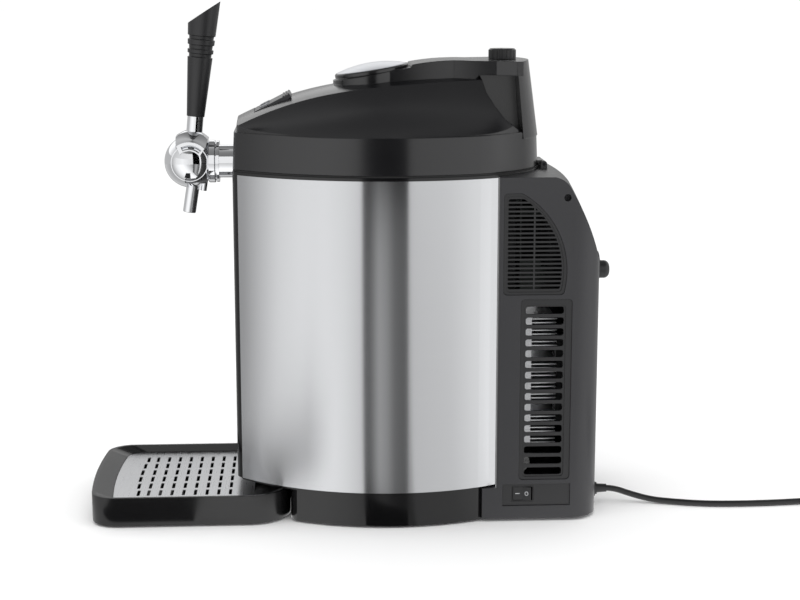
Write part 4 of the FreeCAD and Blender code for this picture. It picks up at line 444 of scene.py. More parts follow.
@dataclass(frozen=True)
class Brushed(Finish):
    """Sheet metal ground with a belt in one direction, which smears light across it."""

    pitch: float = 0.7  # spacing of the streaks in mm; real grit of 0.15 mm is too fine
    grain: Grain = Grain.ROUND
    anisotropy: float = 1.0
    turn: float = 0.25  # quarter turn: light smears across the streaks
    depth: float = 0.004  # depth of the streaks in mm
    strength: float = 0.3  # share of the bump
    detail: float = 6.0
    raggedness: float = 0.65

    def relief(self, tree: bpy.types.NodeTree, shader: bpy.types.Node) -> None:
        """Add streaks along the belt, in roughness, tone and a faint bump.

        Args:
            tree: material's node tree.
            shader: the Principled node.
        """
        shader.inputs["Anisotropic"].default_value = self.anisotropy
        shader.inputs["Anisotropic Rotation"].default_value = self.turn
        around = add_node(tree, "ShaderNodeTangent", direction_type="RADIAL", axis="Z")
        tree.links.new(around.outputs["Tangent"], shader.inputs["Tangent"])
        where = add_node(tree, "ShaderNodeTexCoord").outputs["Object"]
        per_metre = 1000 / self.pitch
        scale = tuple(part * per_metre for part in self.grain.value)
        stretch = add_node(tree, "ShaderNodeMapping", {"Vector": where, "Scale": scale})
        stretched = stretch.outputs["Vector"]
        streaks = add_noise(tree, stretched, 1.0, self.detail, self.raggedness)
        self.vary(tree, shader, streaks)
        bump = add_bump(tree, streaks, self.depth, self.strength)
        tree.links.new(bump.outputs["Normal"], shader.inputs["Normal"])


# Austenitic stainless sheet, ground with a belt along its length: it mirrors upright
# shapes as sharp bands and draws them out in height.
STEEL = Brushed("BrushedStainlessSheet", "#CACBCD", 0.21, metallic=1.0, drift=0.015, tone=0.035)
# Punched and tumbled stainless sheet of the drip plate: dull grey sheen.
DRIP_STEEL = Brushed(
    "PunchedStainlessPlate",
    "#D2D3D5",
    0.3,
    metallic=1.0,
    grain=Grain.CROSSWISE,
    anisotropy=0.2,
    drift=0.05,
)
# Polished brass under bright chrome plate: hard black and white reflections.
CHROME = Finish(
    "PolishedChromePlate", "#ECEDEF", 0.03, metallic=1.0, edge=0.35, drift=0.01, tone=0.01
)
# Turned steel with a thin chrome flash: slightly softer than the tap.
SPINDLE = Finish(
    "TurnedPlatedSteel", "#E2E3E5", 0.05, metallic=1.0, edge=0.4, drift=0.015, tone=0.02
)
# ABS of the housing with a fine eroded grain: dark grey, wide soft highlights.
HOUSING = Moulded("GrainedAbsHousing", "#262629", 0.36, edge=0.9)
# ABS of the drum's mouldings, polished tool: near black, it mirrors the studio softly.
MOULDING = Moulded("SemiGlossAbsMoulding", "#0E0E0F", 0.14, edge=0.6, depth=0.003, drift=0.02)
# Inserts with a coarse grain: matte black slats.
VENT = Moulded("MatteAbsInsert", "#1A1A1C", 0.42, edge=0.35)
# Lid of ABS with a semi-gloss tool finish: near black with broad sheens.
LID = Moulded("SatinAbsLid", "#131315", 0.22, ior=1.6, edge=1.2, depth=0.008)
# Inner mouldings, plain tool finish.
INNER = Moulded("PlainAbsInner", "#303033", 0.5, edge=0.4)
# Handle with a soft-touch paint: deep matte black that still rounds the light.
HANDLE = Moulded("SoftTouchHandle", "#1B1B1D", 0.4, edge=0.8, grain=0.3)
# Drip tray of polypropylene, satin tool finish: near black with a soft mirror.
TRAY = Moulded("SatinPolypropyleneTray", "#111112", 0.2, edge=1.0, depth=0.006)
# Control panel of hard-wearing smooth ABS.
PANEL = Moulded("SmoothAbsPanel", "#2B2B2E", 0.25, edge=0.5, depth=0.006)
# Button caps, satin.
BUTTON = Moulded("SatinButtonCaps", "#8E9094", 0.4, edge=0.4)
# Smoked acrylic of the display: nearly black, mirror-smooth.
LENS = Finish("SmokedAcrylicLens", "#15181C", 0.06, ior=1.49, coat=0.5, edge=0.2)
# Blank domed badge, satin silver paint under lacquer.
BADGE = Moulded("SilverPaintedBadge", "#C3C5C9", 0.3, metallic=0.55, edge=1.4, depth=0.004)
# Glass-filled nylon of knobs and the fan: black, slightly fibrous.
CONTROL = Moulded("BlackNylonControl", "#151517", 0.35, edge=0.5)
# Moulded rubber of feet, gasket and pad: dull, coarse grain.
RUBBER = Moulded("MouldedRubber", "#161617", 0.7, edge=0.6, grain=0.8)
# Soft PVC sheath of the lead: satin black.
CORD = Moulded("PvcSheath", "#0F0F10", 0.4, edge=0.2, grain=0.6)
# Extruded and pressed aluminium as it left the mill: bright, softly blurred.
ALUMINIUM = Moulded("MillFinishAluminium", "#E4E5E7", 0.3, metallic=1.0, edge=0.2, depth=0.004)
# Expanded polypropylene that insulates the well: charcoal beads.
FOAM = Beaded("ExpandedPolypropylene", "#171718", 0.8, tone=0.3)
# Alumina faces of the cooling module: chalk white.
CERAMIC = Moulded("AluminaCeramic", "#EDEBE4", 0.45, edge=0.2)
# Blackened steel of the housing's screws and the hinge pin: dark, half glossy.
BLACK_SCREW = Finish("BlackenedSteelScrew", "#2C2C2E", 0.35, metallic=1.0, edge=0.2)
# Zinc plate of the clamp screws: pale grey.
SCREW = Finish("ZincPlatedSteel", "#A9ABAF", 0.3, metallic=1.0, edge=0.2)
# Painted shade: black strip between the vents that stands for the dark inside seen through the
# slots.
PAINTED_SHADE = Moulded("PaintedShadeBlack", "#0C0C0D", 0.9, edge=0.4, grain=1.2, depth=0.15)
# Glass-fibre board under dark solder mask.
BOARD = Moulded("SolderMaskBoard", "#0E1F16", 0.35, edge=0.2)
# Food-grade acetal of arm and coupler: waxy dark grey.
ACETAL = Moulded("FoodGradeAcetal", "#3F4043", 0.42, edge=0.5)
# Food-grade tube of beer and gas lines: milky.
LINE = Moulded("FoodGradeTube", "#DCDAD2", 0.35, edge=0.2)
# Nickel-plated brass and steel of the gas fittings: warm grey metal.
GAS = Moulded("PlatedGasFitting", "#A3A5A9", 0.28, metallic=1.0, edge=0.4, depth=0.004)
# Pad-printed white marks of the rocker.
MARK = Moulded("PadPrintedMark", "#C9CACC", 0.5, edge=0.1, depth=0.002)


# ------------------------------------------------------------------ sub-assemblies
@dataclass
class Drum:
    """Oval drum: steel skins, front moulding, ring, well and base."""

    steel: tuple[str, ...] = ("steel_skin_left", "steel_skin_right")
    mouldings: tuple[str, ...] = ("front_panel", "base_plinth", "bottom_plate", "top_ring")
    rubbers: tuple[str, ...] = ("rubber_feet", "lid_gasket", "keg_pad")

    def build(self) -> None:
        """Give the drum its finishes."""
        dress(self.steel, STEEL.make())
        dress(self.mouldings, MOULDING.make())
        dress(self.rubbers, RUBBER.make())
        dress(["keg_well"], ALUMINIUM.make())
        dress(["insulation_foam"], FOAM.make())


@dataclass
class Housing:
    """Rear housing with its vents, switch and dial."""

    vents: tuple[str, ...] = (
        "upper_vent_left",
        "upper_vent_right",
        "lower_vent_left",
        "lower_vent_right",
        "switch_plate",
    )
    controls: tuple[str, ...] = ("power_rocker", "temperature_dial", "switch_body", "thermostat")
    # rocker's pivot about the drum's axis, and its two faces, in mm
    pivot: tuple[float, float, float] = (123.7, -91.2, 27.8)
    tilt: float = -6.5  # degrees, at rest
    face_reach: float = 8.8
    face_rise: float = 4.6
    face_middle: float = 3.7
    # marks: height, width of the stroke, how wide the ring is against its height, and how
    # far the ink stands off the face
    mark_height: float = 4.2
    mark_stroke: float = 0.55
    ring_width: float = 0.8
    ring_steps: int = 32
    ink_lift: float = 0.03

    def build(self) -> None:
        """Give the housing its finishes and print the rocker's marks."""
        dress(["rear_housing"], HOUSING.make())
        dress(self.vents, VENT.make())
        dress(self.controls, CONTROL.make())
        dress(["cord_gland"], CORD.make())
        dress(["housing_screws"], BLACK_SCREW.make())
        ink = MARK.make()
        self.print_mark("rocker_mark_on", self.bar(), -1, ink)
        self.print_mark("rocker_mark_off", self.ring(), 1, ink)

    def bar(self) -> tuple[list[tuple[float, float]], list[tuple[int, ...]]]:
        """Draw the level bar of the on mark.

        Returns:
            Corners in mm about the mark's middle, and faces.
        """
        length, half = self.mark_height / 2, self.mark_stroke / 2
        corners = [(-length, -half), (length, -half), (length, half), (-length, half)]
        return corners, [(0, 1, 2, 3)]

    def ring(self) -> tuple[list[tuple[float, float]], list[tuple[int, ...]]]:
        """Draw the ring of the off mark.

        Returns:
            Corners in mm about the mark's middle, and faces.
        """
        steps, outer = self.ring_steps, self.mark_height / 2
        inner = outer - self.mark_stroke
        corners = []
        for step in range(steps):
            angle = 2 * math.pi * step / steps
            for radius in (outer, inner):
                across = radius * self.ring_width * math.cos(angle)
                corners.append((across, radius * math.sin(angle)))
        faces = []
        for step in range(steps):
            low, high = 2 * step, 2 * ((step + 1) % steps)
            faces.append((low, high, high + 1, low + 1))
        return corners, faces

    def print_mark(
        self,
        name: str,
        drawing: tuple[list[tuple[float, float]], list[tuple[int, ...]]],
        side: int,
        ink: bpy.types.Material,
    ) -> None:
        """Lay a flat mark on one face of the rocker.

        Args:
            name: object name.
            drawing: corners in mm and faces.
            side: -1 for the face towards the tap, 1 for the other.
            ink: finish of the mark.
        """
        turn = Matrix.Rotation(math.radians(self.tilt), 4, "Z")
        pivot = in_row(Vector(self.pivot))
        middle = self.face_reach * 0.5 * side
        rise = -(self.face_rise + self.face_middle) / 2
        slope = (self.face_middle - self.face_rise) / self.face_reach * side
        vertices = []
        for across, up in drawing[0]:
            depth = rise + slope * across - self.ink_lift
            vertices.append(pivot + turn @ (Vector((middle + across, depth, up)) * MM))
        mark = new_mesh(name, vertices, drawing[1], smooth=False)
        mark.data.materials.append(ink)
        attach(mark, "rocker")
        LOG.info("printed %s", name)


@dataclass
class CoolingUnit:
    """Thermoelectric cooler behind the well, with its fan, its power board, and a black strip of
    painted shade.
    """

    metal: tuple[str, ...] = ("heatsink", "cold_block")
    fan: tuple[str, ...] = ("fan_frame", "fan_rotor")
    # black strip of painted shade that hides the far vent from the near one, so the slots read
    # dark: its corner and its extent, in mm
    strip_corner: tuple[float, float, float] = (124.3, -2.0, 226.0)
    strip_size: tuple[float, float, float] = (27.0, 3.0, 61.0)
    strip_rounding: float = 0.8
    strip_segments: int = 3

    def build(self) -> None:
        """Give the cooling unit its finishes."""
        dress(self.metal, ALUMINIUM.make())
        dress(self.fan, CONTROL.make())
        dress(["cooling_module"], CERAMIC.make())
        dress(["clamp_screws"], SCREW.make())
        dress(["power_board"], BOARD.make())
        self.build_strip()

    def build_strip(self) -> None:
        """Stand the black strip of painted shade on the power board, between the two vents."""
        x, y, z = self.strip_corner
        wide, thick, tall = self.strip_size
        corners = [
            in_row(Vector((x + wide * i, y + thick * j, z + tall * k)))
            for k in (0, 1)
            for i, j in ((0, 0), (1, 0), (1, 1), (0, 1))
        ]
        sides = [(k, (k + 1) % 4, 4 + (k + 1) % 4, 4 + k) for k in range(4)]
        faces = [(3, 2, 1, 0), (4, 5, 6, 7), *sides]
        strip = new_mesh("painted_shade_strip", corners, faces, smooth=False)
        # painted shade: this black strip stands for the dark inside seen through the vent slots
        strip.data.materials.append(PAINTED_SHADE.make())
        rounding = strip.modifiers.new("rounding", "BEVEL")
        rounding.width, rounding.segments = self.strip_rounding * MM, self.strip_segments
        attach(strip, "cabinet")


@dataclass
class Lid:
    """Scooped lid with its panel, badge, regulator and cartridge."""

    shells: tuple[str, ...] = ("lid_shell", "badge_carrier")
    buttons: tuple[str, ...] = ("button_minus", "button_plus")
    gas: tuple[str, ...] = ("regulator_body", "gas_cartridge")

    def build(self) -> None:
        """Give the lid its finishes."""
        dress(self.shells, LID.make())
        dress(["lid_liner"], INNER.make())
        dress(["control_panel"], PANEL.make())
        dress(["display_lens"], LENS.make())
        dress(self.buttons, BUTTON.make())
        dress(["control_board"], BOARD.make())
        dress(["badge_disc"], BADGE.make())
        dress(["gas_knob"], CONTROL.make())
        dress(self.gas, GAS.make())
        dress(["gas_tube"], LINE.make())
        dress(["hinge_pin"], BLACK_SCREW.make())


@dataclass
class Tap:
    """Ball tap with its arm, spout and lever."""

    plated: tuple[str, ...] = (
        "tap_ball",
        "tap_collar",
        "tap_tube",
        "tap_spout",
        "tap_yoke",
        "lever_stem",
    )
    inner: tuple[str, ...] = ("tap_arm", "keg_coupler")

    def build(self) -> None:
        """Give the tap its finishes."""
        dress(self.plated, CHROME.make())
        dress(["valve_spindle"], SPINDLE.make())
        dress(["lever_handle"], HANDLE.make())
        dress(self.inner, ACETAL.make())
        dress(["beer_line"], LINE.make())


@dataclass
class Tray:
    """Drip tray and its plate."""

    basin: str = "drip_tray"
    plate: str = "drip_plate"

    def build(self) -> None:
        """Give the tray its finishes."""
        dress([self.basin], TRAY.make())
        dress([self.plate], DRIP_STEEL.make())


@dataclass
class MainsLead:
    """Round mains lead, from the strain relief to its wound-up end, its tie and its plug."""

    radius: float = 3.0  # mm
    length: float = 1.8  # m
    # curve: order, steps from point to point, and steps of a quarter of its outline
    order: int = 3
    steps: int = 8
    outline_steps: int = 5
    # middle of the wound-up coil, in mm about the drum's axis, and where its first turn starts
    coil: tuple[float, float] = (476.0, -86.0)
    coil_start: float = 104.0
    points_per_turn: int = 16
    points_per_climb: int = 6
    # layers of the coil: first radius, last radius, level of the lead's middle, turns
    layers: tuple[tuple[float, float, float, float], ...] = (
        (40.6, 24.6, 3.1, 2.8),
        (24.6, 40.6, 9.1, 2.8),
        (40.6, 34.8, 15.2, 1.0),
        (34.8, 40.6, 20.8, 0.689),
    )
    # strap round the turns: its inner and outer reach, low and high edge, and its width,
    # thickness and bend, in mm
    tie_box: tuple[float, float, float, float] = (20.6, 44.6, 0.05, 19.2)
    tie_strap: tuple[float, float, float] = (4.4, 0.7, 3.0)
    tie_angle: float = 280.0
    tie_corner_steps: int = 6
    # end of the plug's neck, and the points about it by which the lead comes in, in mm
    plug: tuple[float, float, float] = (516.6, -115.0, 18.6)
    plug_entry: tuple[tuple[float, float, float], ...] = (
        (0.0, 17.0, 1.2),
        (0.0, 4.0, 0.0),
        (0.0, -8.0, 0.0),
    )
    # neck's end, and its ribs: how many, where the first starts, their spacing, and by how
    # much each is wider than the one before, in mm
    neck_radius: float = 5.2
    ribs: int = 3
    rib_start: float = 0.6
    rib_pitch: float = 2.2
    rib_growth: float = 0.35
    # outline of a rib and of the groove behind it, of the body and of a pin: distance along
    # the axis and radius, in mm
    rib_profile: tuple[tuple[float, float], ...] = ((0.0, 5.9), (1.3, 5.9), (1.5, 4.9), (2.0, 4.9))
    body_profile: tuple[tuple[float, float], ...] = (
        (7.4, 7.3),
        (10.5, 8.6),
        (14.0, 10.8),
        (17.5, 14.0),
        (20.5, 16.6),
        (23.5, 18.0),
        (27.0, 18.4),
        (34.0, 18.4),
        (34.4, 18.0),
        (35.4, 18.0),
        (35.8, 18.4),
        (40.6, 18.4),
        (41.6, 17.8),
        (42.0, 16.8),
        (42.0, 0.01),
    )
    pin_profile: tuple[tuple[float, float], ...] = (
        (41.0, 0.01),
        (41.0, 2.4),
        (50.0, 2.4),
        (50.2, 2.1),
        (59.0, 2.1),
        (60.6, 1.6),
        (61.0, 0.01),
    )
    pin_offset: float = 9.5
    pin_steps: int = 32
    # middle of the lead, in mm about the drum's axis
    route: tuple[tuple[float, float, float], ...] = (
        (213.0, -40.0, 15.0),
        (223.0, -40.0, 15.0),
        (240.0, -41.5, 9.0),
        (261.0, -45.0, 3.6),
        (283.0, -52.0, 3.1),
        (310.0, -60.0, 3.1),
        (345.0, -62.5, 3.1),
        (385.0, -61.0, 3.1),
        (425.0, -56.2, 3.1),
    )

    def coil_points(self) -> list[Vector]:
        """Wind the turns clockwise, each layer on the one below it.

        Returns:
            Control points in mm about the drum's axis.
        """
        points: list[Vector] = []
        angle = math.radians(self.coil_start)
        step = 2 * math.pi / self.points_per_turn
        below = self.layers[0][2]
        for first, last, level, turns in self.layers:
            count = round(turns * self.points_per_turn)
            for index in range(count):
                reach = first + (last - first) * index / count
                x = self.coil[0] + reach * math.cos(angle)
                y = self.coil[1] + reach * math.sin(angle)
                climb = min(1.0, index / self.points_per_climb)
                points.append(Vector((x, y, below + (level - below) * climb)))
                angle -= step
            below = level
        return points

    def build(self) -> None:
        """Lay the lead as one smooth curve and put its plug beside the coil."""
        points = [Vector(point) for point in self.route] + self.coil_points()
        points += [Vector(self.plug) + Vector(offset) for offset in self.plug_entry]
        curve = bpy.data.curves.new("mains_lead", "CURVE")
        curve.dimensions = "3D"
        spline = curve.splines.new("NURBS")
        spline.points.add(len(points) - 1)
        for target, point in zip(spline.points, points):
            target.co = (*in_row(point), 1.0)
        spline.order_u = self.order
        spline.use_endpoint_u = True
        spline.resolution_u = self.steps
        curve.bevel_depth = self.radius * MM
        curve.bevel_resolution = self.outline_steps
        curve.use_fill_caps = True
        lead = bpy.data.objects.new("mains_lead", curve)
        bpy.context.scene.collection.objects.link(lead)
        curve.materials.append(CORD.make())
        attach(lead, "cabinet")
        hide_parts("power_cord", "cord_coil")
        plug, tie = self.build_plug(), self.build_tie()
        LOG.info("laid the mains lead")

    def build_tie(self) -> bpy.types.Object:
        """Bind the coil's turns with a flat strap.

        Returns:
            The strap.
        """
        inner, outer, low, high = self.tie_box
        wide, thick, bend = self.tie_strap
        angle = math.radians(self.tie_angle)
        out = Vector((math.cos(angle), math.sin(angle), 0.0))
        along, up = Vector((-out.y, out.x, 0.0)), Vector((0.0, 0.0, 1.0))
        middle = Vector((*self.coil, 0.0))
        corners = (
            (outer - bend, high - bend),
            (inner + bend, high - bend),
            (inner + bend, low + bend),
            (outer - bend, low + bend),
        )
        section = ((-1, bend - thick), (1, bend - thick), (1, bend), (-1, bend))
        vertices: list[Vector] = []
        for number, (reach, level) in enumerate(corners):
            for step in range(self.tie_corner_steps + 1):
                turn = math.radians(90 * number + 90 / self.tie_corner_steps * step)
                for side, depth in section:
                    point = middle + out * (reach + depth * math.cos(turn))
                    point += along * side * wide / 2 + up * (level + depth * math.sin(turn))
                    vertices.append(in_row(point))
        count = len(vertices)
        faces = []
        for ring in range(0, count, 4):
            following = (ring + 4) % count
            for here in range(4):
                after = (here + 1) % 4
                faces.append((ring + here, ring + after, following + after, following + here))
        tie = new_mesh("cord_tie", vertices, faces, smooth=False)
        tie.data.materials.append(CONTROL.make())
        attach(tie, "cabinet")
        return tie

    def build_plug(self) -> bpy.types.Object:
        """Turn the plug's body with its ribbed neck, and its two pins.

        Returns:
            The plug, with its pins joined to it.
        """
        outline = [(0.0, self.radius), (0.0, self.neck_radius)]
        for rib in range(self.ribs):
            for along, radius in self.rib_profile:
                start = self.rib_start + rib * self.rib_pitch
                outline.append((start + along, radius + rib * self.rib_growth))
        outline += self.body_profile
        turn = Matrix.Rotation(math.radians(90), 4, "X")
        place = Matrix.Translation(in_row(Vector(self.plug))) @ turn
        plug = lathe("mains_plug", [(along * MM, radius * MM) for along, radius in outline], place)
        plug.data.materials.append(CONTROL.make())
        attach(plug, "cabinet")
        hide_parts("cord_plug")
        outline = [(along * MM, radius * MM) for along, radius in self.pin_profile]
        metal = SPINDLE.make()
        for side, name in ((-1, "plug_pin_left"), (1, "plug_pin_right")):
            middle = Vector(self.plug) + Vector((side * self.pin_offset, 0.0, 0.0))
            place = Matrix.Translation(in_row(middle)) @ turn
            piece = lathe(name, outline, place, steps=self.pin_steps)
            piece.data.materials.append(metal)
            piece.parent = plug
        return plug


@dataclass(frozen=True)
class Lamp:
    """Soft area light that polished surfaces don't mirror; lengths in metres."""

    name: str
    place: tuple[float, float, float]
    size: tuple[float, float]
    power: float  # watts


@dataclass(frozen=True)
class Patch:
    """Dark sheet on the floor; its corners are in mm about the drum's axis."""

    tone: float
    corners: tuple[tuple[float, float], ...]


@dataclass
class Studio:
    """Pale floor, soft light, reflectors for the metal, and the camera."""

    # camera: place in metres, turn to the right and tilt down in radians, the rest in mm and m
    eye: tuple[float, float, float] = (-0.0475, -1.6501, 0.519)
    yaw: float = 0.058
    pitch: float = 0.189
    lens: float = 75.26
    sensor: float = 36.0
    view_end: float = 200.0
    # floor: side in metres, colour and roughness of the paper
    floor: float = 60.0
    paper: str = "#F7F7F7"
    paper_roughness: float = 0.9
    world_strength: float = 1.08
    lamps: tuple[Lamp, ...] = (
        Lamp("key_above", (-0.2, -0.3, 2.4), (2.6, 2.2), 14.0),
        Lamp("fill_right", (2.0, -1.0, 0.9), (0.8, 1.6), 5.0),
    )
    lamp_aim: tuple[float, float, float] = (0.0, 0.0, 0.25)
    # ring of reflectors: radius, height, level where its upper part starts, and divisions
    reach: float = 2.4
    height: float = 2.2
    wall_split: float = 0.95
    ring_steps: int = 180
    # levels of the sheets that lie on the floor, each just above the one before, in metres
    disc_level: float = 0.0008
    flag_level: float = 0.0012
    patch_level: float = 0.0016
    # strongest light of the reflectors; the tones below are shares of it
    glow: float = 1.32
    # direction round the drum's axis in degrees, from -Y towards +X, and tone
    floor_tones: tuple[tuple[float, float], ...] = (
        (-180, 0.06),
        (-158, 0.1),
        (-146, 0.5),
        (-104, 0.36),
        (-88, 0.3),
        (-75, 0.6),
        (-63, 0.86),
        (-50, 1.0),
        (-36, 1.0),
        (-25, 0.86),
        (-16, 0.66),
        (9.6, 0.26),
        (10.4, 0.57),
        (32, 0.63),
        (40, 0.73),
        (56, 0.98),
        (75, 1.0),
        (104, 0.6),
        (146, 0.5),
        (158, 0.1),
        (180, 0.06),
    )
    wall_tones: tuple[tuple[float, float], ...] = (
        (-180, 0.4),
        (-110, 0.4),
        (-88, 0.4),
        (-63, 0.77),
        (-36, 0.89),
        (0, 0.7),
        (56, 0.87),
        (75, 0.97),
        (110, 0.4),
        (180, 0.4),
    )
    top_tones: tuple[tuple[float, float], ...] = (
        (-180, 0.95),
        (-120, 0.9),
        (-90, 0.5),
        (-40, 0.7),
        (0, 0.75),
        (50, 0.9),
        (120, 0.9),
        (180, 0.95),
    )
    roof_tones: tuple[tuple[float, float], ...] = (
        (-180, 0.12),
        (-150, 0.2),
        (-110, 0.42),
        (-60, 0.32),
        (0, 0.12),
        (90, 0.3),
        (180, 0.12),
    )
    # dark flag: its ends on the floor about the drum's axis, those of the dark floor sheet
    # that runs from it to the plinth, and the tops of its toned and its black part, in mm
    flag: tuple[tuple[float, float], ...] = ((-106.0, -385.0), (35.0, -255.0))
    flag_foot: tuple[tuple[float, float], ...] = ((-28.0, -112.0), (12.0, -112.0))
    flag_split: float = 300.0
    flag_height: float = 700.0
    # tone across the flag from its left edge
    flag_tones: tuple[tuple[float, float], ...] = (
        (0.0, 0.08),
        (0.16, 0.13),
        (0.36, 0.38),
        (0.52, 0.3),
        (0.7, 0.15),
        (0.9, 0.11),
        (1.0, 0.12),
    )
    # narrow reflectors before the housing's edges, which brighten the ends of the steel:
    # place along X, near and far edge from the middle, low and high edge, in mm, and tone
    seam: tuple[float, float, float, float, float] = (97.6, 89.3, 96.7, 12.0, 338.0)
    seam_tone: float = 0.9
    # before the tray and before the plinth
    patches: tuple[Patch, ...] = (
        Patch(0.02, ((-330.0, -330.0), (-196.0, -330.0), (-196.0, -108.0), (-330.0, -108.0))),
        Patch(0.0, ((-56.0, -206.0), (19.0, -160.0), (12.0, -112.0), (-30.0, -112.0))),
    )

    def build(self) -> None:
        """Set the whole studio."""
        bpy.context.scene.view_settings.view_transform = "Standard"
        self.make_floor()
        self.make_world()
        self.make_surround()
        self.make_flags()
        self.make_lights()
        self.make_camera()

    def make_floor(self) -> None:
        """Lay a large pale floor that reaches past the horizon of the view."""
        half = self.floor / 2
        floor = new_mesh(
            "studio_floor",
            [(-half, -half, 0), (half, -half, 0), (half, half, 0), (-half, half, 0)],
            [(0, 1, 2, 3)],
        )
        paper = bpy.data.materials.new("PaleStudioPaper")
        paper.use_nodes = True
        shader = paper.node_tree.nodes["Principled BSDF"]
        shader.inputs["Base Color"].default_value = linear(self.paper)
        shader.inputs["Roughness"].default_value = self.paper_roughness
        shader.inputs["Specular IOR Level"].default_value = 0.0
        floor.data.materials.append(paper)

    def make_world(self) -> None:
        """Fill the studio with even white light."""
        world = bpy.data.worlds.new("studio_light")
        world.use_nodes = True
        background = world.node_tree.nodes["Background"]
        background.inputs["Color"].default_value = (1, 1, 1, 1)
        background.inputs["Strength"].default_value = self.world_strength
        bpy.context.scene.world = world

    def add_reflector(
        self,
        name: str,
        vertices: Sequence[Sequence[float]],
        faces: Sequence[Sequence[int]],
        place: tuple[float, float, float],
    ) -> tuple[bpy.types.NodeTree, bpy.types.Node]:
        """Stand a glowing sheet that only polished surfaces see.

        Args:
            name: object name.
            vertices: corners about its own origin, in metres.
            faces: corner numbers of each face.
            place: its origin.

        Returns:
            The node tree of its material, and the ramp that gives its tone.
        """
        sheet = new_mesh(name, vertices, faces)
        sheet.location = place
        material = bpy.data.materials.new(name.title().replace("_", ""))
        material.use_nodes = True
        tree = material.node_tree
        tree.nodes.clear()
        ramp = add_node(tree, "ShaderNodeValToRGB")
        light = {"Color": ramp.outputs["Color"], "Strength": self.glow}
        glow = add_node(tree, "ShaderNodeEmission", light)
        add_node(tree, "ShaderNodeOutputMaterial", {"Surface": glow.outputs["Emission"]})
        sheet.data.materials.append(material)
        sheet.visible_camera = False
        sheet.visible_diffuse = False
        sheet.visible_shadow = False
        sheet.visible_transmission = False
        return tree, ramp

    def add_plain_reflector(
        self,
        name: str,
        vertices: Sequence[Sequence[float]],
        face: Sequence[int],
        place: tuple[float, float, float],
        tone: float,
    ) -> None:
        """Stand a reflector of one tone.

        Args:
            name: object name.
            vertices: corners about its own origin, in metres.
            face: corner numbers of its face.
            place: its origin.
            tone: its grey, from 0 to 1.
        """
        _, ramp = self.add_reflector(name, vertices, [face], place)
        set_ramp(ramp, [(0.0, tone), (1.0, tone)])

    def tone_by_azimuth(
        self,
        tree: bpy.types.NodeTree,
        ramp: bpy.types.Node,
        tones: Sequence[tuple[float, float]],
    ) -> None:
        """Let a ramp follow the direction round the drum's axis.

        Args:
            tree: node tree that holds the ramp.
            ramp: its grey ramp.
            tones: directions in degrees, from -Y towards +X, and their greys.
        """
        where = add_node(tree, "ShaderNodeTexCoord")
        parts = add_node(tree, "ShaderNodeSeparateXYZ", {"Vector": where.outputs["Object"]})
        front = add_node(
            tree, "ShaderNodeMath", {0: parts.outputs["Y"], 1: -1.0}, operation="MULTIPLY"
        )
        azimuth = add_node(
            tree,
            "ShaderNodeMath",
            {0: parts.outputs["X"], 1: front.outputs["Value"]},
            operation="ARCTAN2",
        )
        low, high = tones[0][0], tones[-1][0]
        share = add_node(
            tree,
            "ShaderNodeMapRange",
            {
                "Value": azimuth.outputs["Value"],
                "From Min": math.radians(low),
                "From Max": math.radians(high),
            },
        )
        tree.links.new(share.outputs["Result"], ramp.inputs["Fac"])
        set_ramp(ramp, [((angle - low) / (high - low), tone) for angle, tone in tones])

    def make_surround(self) -> None:
        """Stand a ring of reflectors round the drum, with a disc on the floor and a roof."""
        steps = self.ring_steps
        rim = [2 * math.pi * step / steps for step in range(steps)]
        ring = [(self.reach * math.sin(turn), -self.reach * math.cos(turn)) for turn in rim]
        for name, low, high, tones in (
            ("reflector_wall", 0.0, self.wall_split, self.wall_tones),
            ("reflector_wall_top", self.wall_split, self.height, self.top_tones),
        ):
            corners = [(x, y, z) for x, y in ring for z in (low, high)]
            faces = []
            for step in range(steps):
                here, after = 2 * step, 2 * ((step + 1) % steps)
                faces.append((here, after, after + 1, here + 1))
            place = (AXIS_SHIFT, 0.0, self.disc_level)
            tree, ramp = self.add_reflector(name, corners, faces, place)
            self.tone_by_azimuth(tree, ramp, tones)
        for name, level, tones in (
            ("reflector_floor", self.disc_level, self.floor_tones),
            ("reflector_roof", self.height, self.roof_tones),
        ):
            corners = [(0.0, 0.0, 0.0), *((x, y, 0.0) for x, y in ring)]
            faces = [(0, 1 + step, 1 + (step + 1) % steps) for step in range(steps)]
            tree, ramp = self.add_reflector(name, corners, faces, (AXIS_SHIFT, 0.0, level))
            self.tone_by_azimuth(tree, ramp, tones)

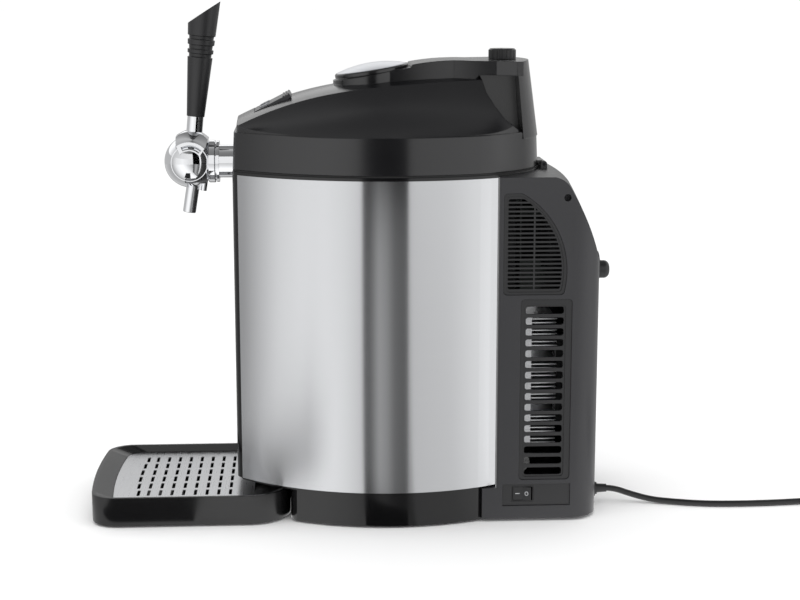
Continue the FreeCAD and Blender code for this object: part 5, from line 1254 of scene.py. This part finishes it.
    def make_flags(self) -> None:
        """Stand the dark flag and the seam reflectors, and lay the dark patches."""
        corners = [
            (x * MM, y * MM, level * MM)
            for level, edge in (
                (0.0, self.flag_foot),
                (0.0, self.flag[::-1]),
                (self.flag_split, self.flag),
                (self.flag_height, self.flag),
            )
            for x, y in edge
        ]
        place = (AXIS_SHIFT, 0.0, self.flag_level)
        tree, ramp = self.add_reflector("flag", corners, [(0, 1, 2, 3), (3, 2, 5, 4)], place)
        start, end = (math.degrees(math.atan2(x, -y)) for x, y in self.flag)
        self.tone_by_azimuth(
            tree, ramp, [(start + share * (end - start), tone) for share, tone in self.flag_tones]
        )
        self.add_plain_reflector("flag_top", corners, (4, 5, 7, 6), place, 0.0)
        x, near, far, low, high = self.seam
        for side in (-1, 1):
            corners = [
                (x * MM, side * y * MM, z * MM)
                for y, z in ((near, low), (far, low), (far, high), (near, high))
            ]
            place = (AXIS_SHIFT, 0.0, 0.0)
            self.add_plain_reflector(f"seam_{side}", corners, (0, 1, 2, 3), place, self.seam_tone)
        place = (AXIS_SHIFT, 0.0, self.patch_level)
        for number, patch in enumerate(self.patches):
            corners = [(x * MM, y * MM, 0.0) for x, y in patch.corners]
            face = tuple(range(len(corners)))
            self.add_plain_reflector(f"dark_patch_{number}", corners, face, place, patch.tone)

    def make_lights(self) -> None:
        """Hang the key light above and the fill light at the right."""
        for lamp in self.lamps:
            light = bpy.data.lights.new(lamp.name, "AREA")
            light.shape = "RECTANGLE"
            light.size, light.size_y = lamp.size
            light.energy = lamp.power
            hung = bpy.data.objects.new(lamp.name, light)
            hung.location = lamp.place
            aim = Vector(self.lamp_aim) - Vector(lamp.place)
            hung.rotation_euler = aim.to_track_quat("-Z", "Y").to_euler()
            hung.visible_glossy = False
            bpy.context.scene.collection.objects.link(hung)

    def make_camera(self) -> None:
        """Stand the camera where the product is seen from slightly above."""
        camera = bpy.data.cameras.new("view")
        camera.lens = self.lens
        camera.sensor_width = self.sensor
        camera.clip_end = self.view_end
        eye = bpy.data.objects.new("view", camera)
        forward = Vector(
            (
                math.sin(self.yaw) * math.cos(self.pitch),
                math.cos(self.yaw) * math.cos(self.pitch),
                -math.sin(self.pitch),
            )
        )
        eye.location = self.eye
        eye.rotation_euler = forward.to_track_quat("-Z", "Y").to_euler()
        bpy.context.scene.collection.objects.link(eye)
        bpy.context.scene.camera = eye


def main() -> None:
    """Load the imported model, dress it, and set the studio."""
    logging.basicConfig(level=logging.INFO, format="%(message)s")
    FRAME.update(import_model())
    MainsLead().build()
    for assembly in (Drum(), Housing(), CoolingUnit(), Lid(), Tap(), Tray()):
        assembly.build()
        LOG.info("dressed the %s", type(assembly).__name__)
    Studio().build()


if __name__ == "__main__":
    main()
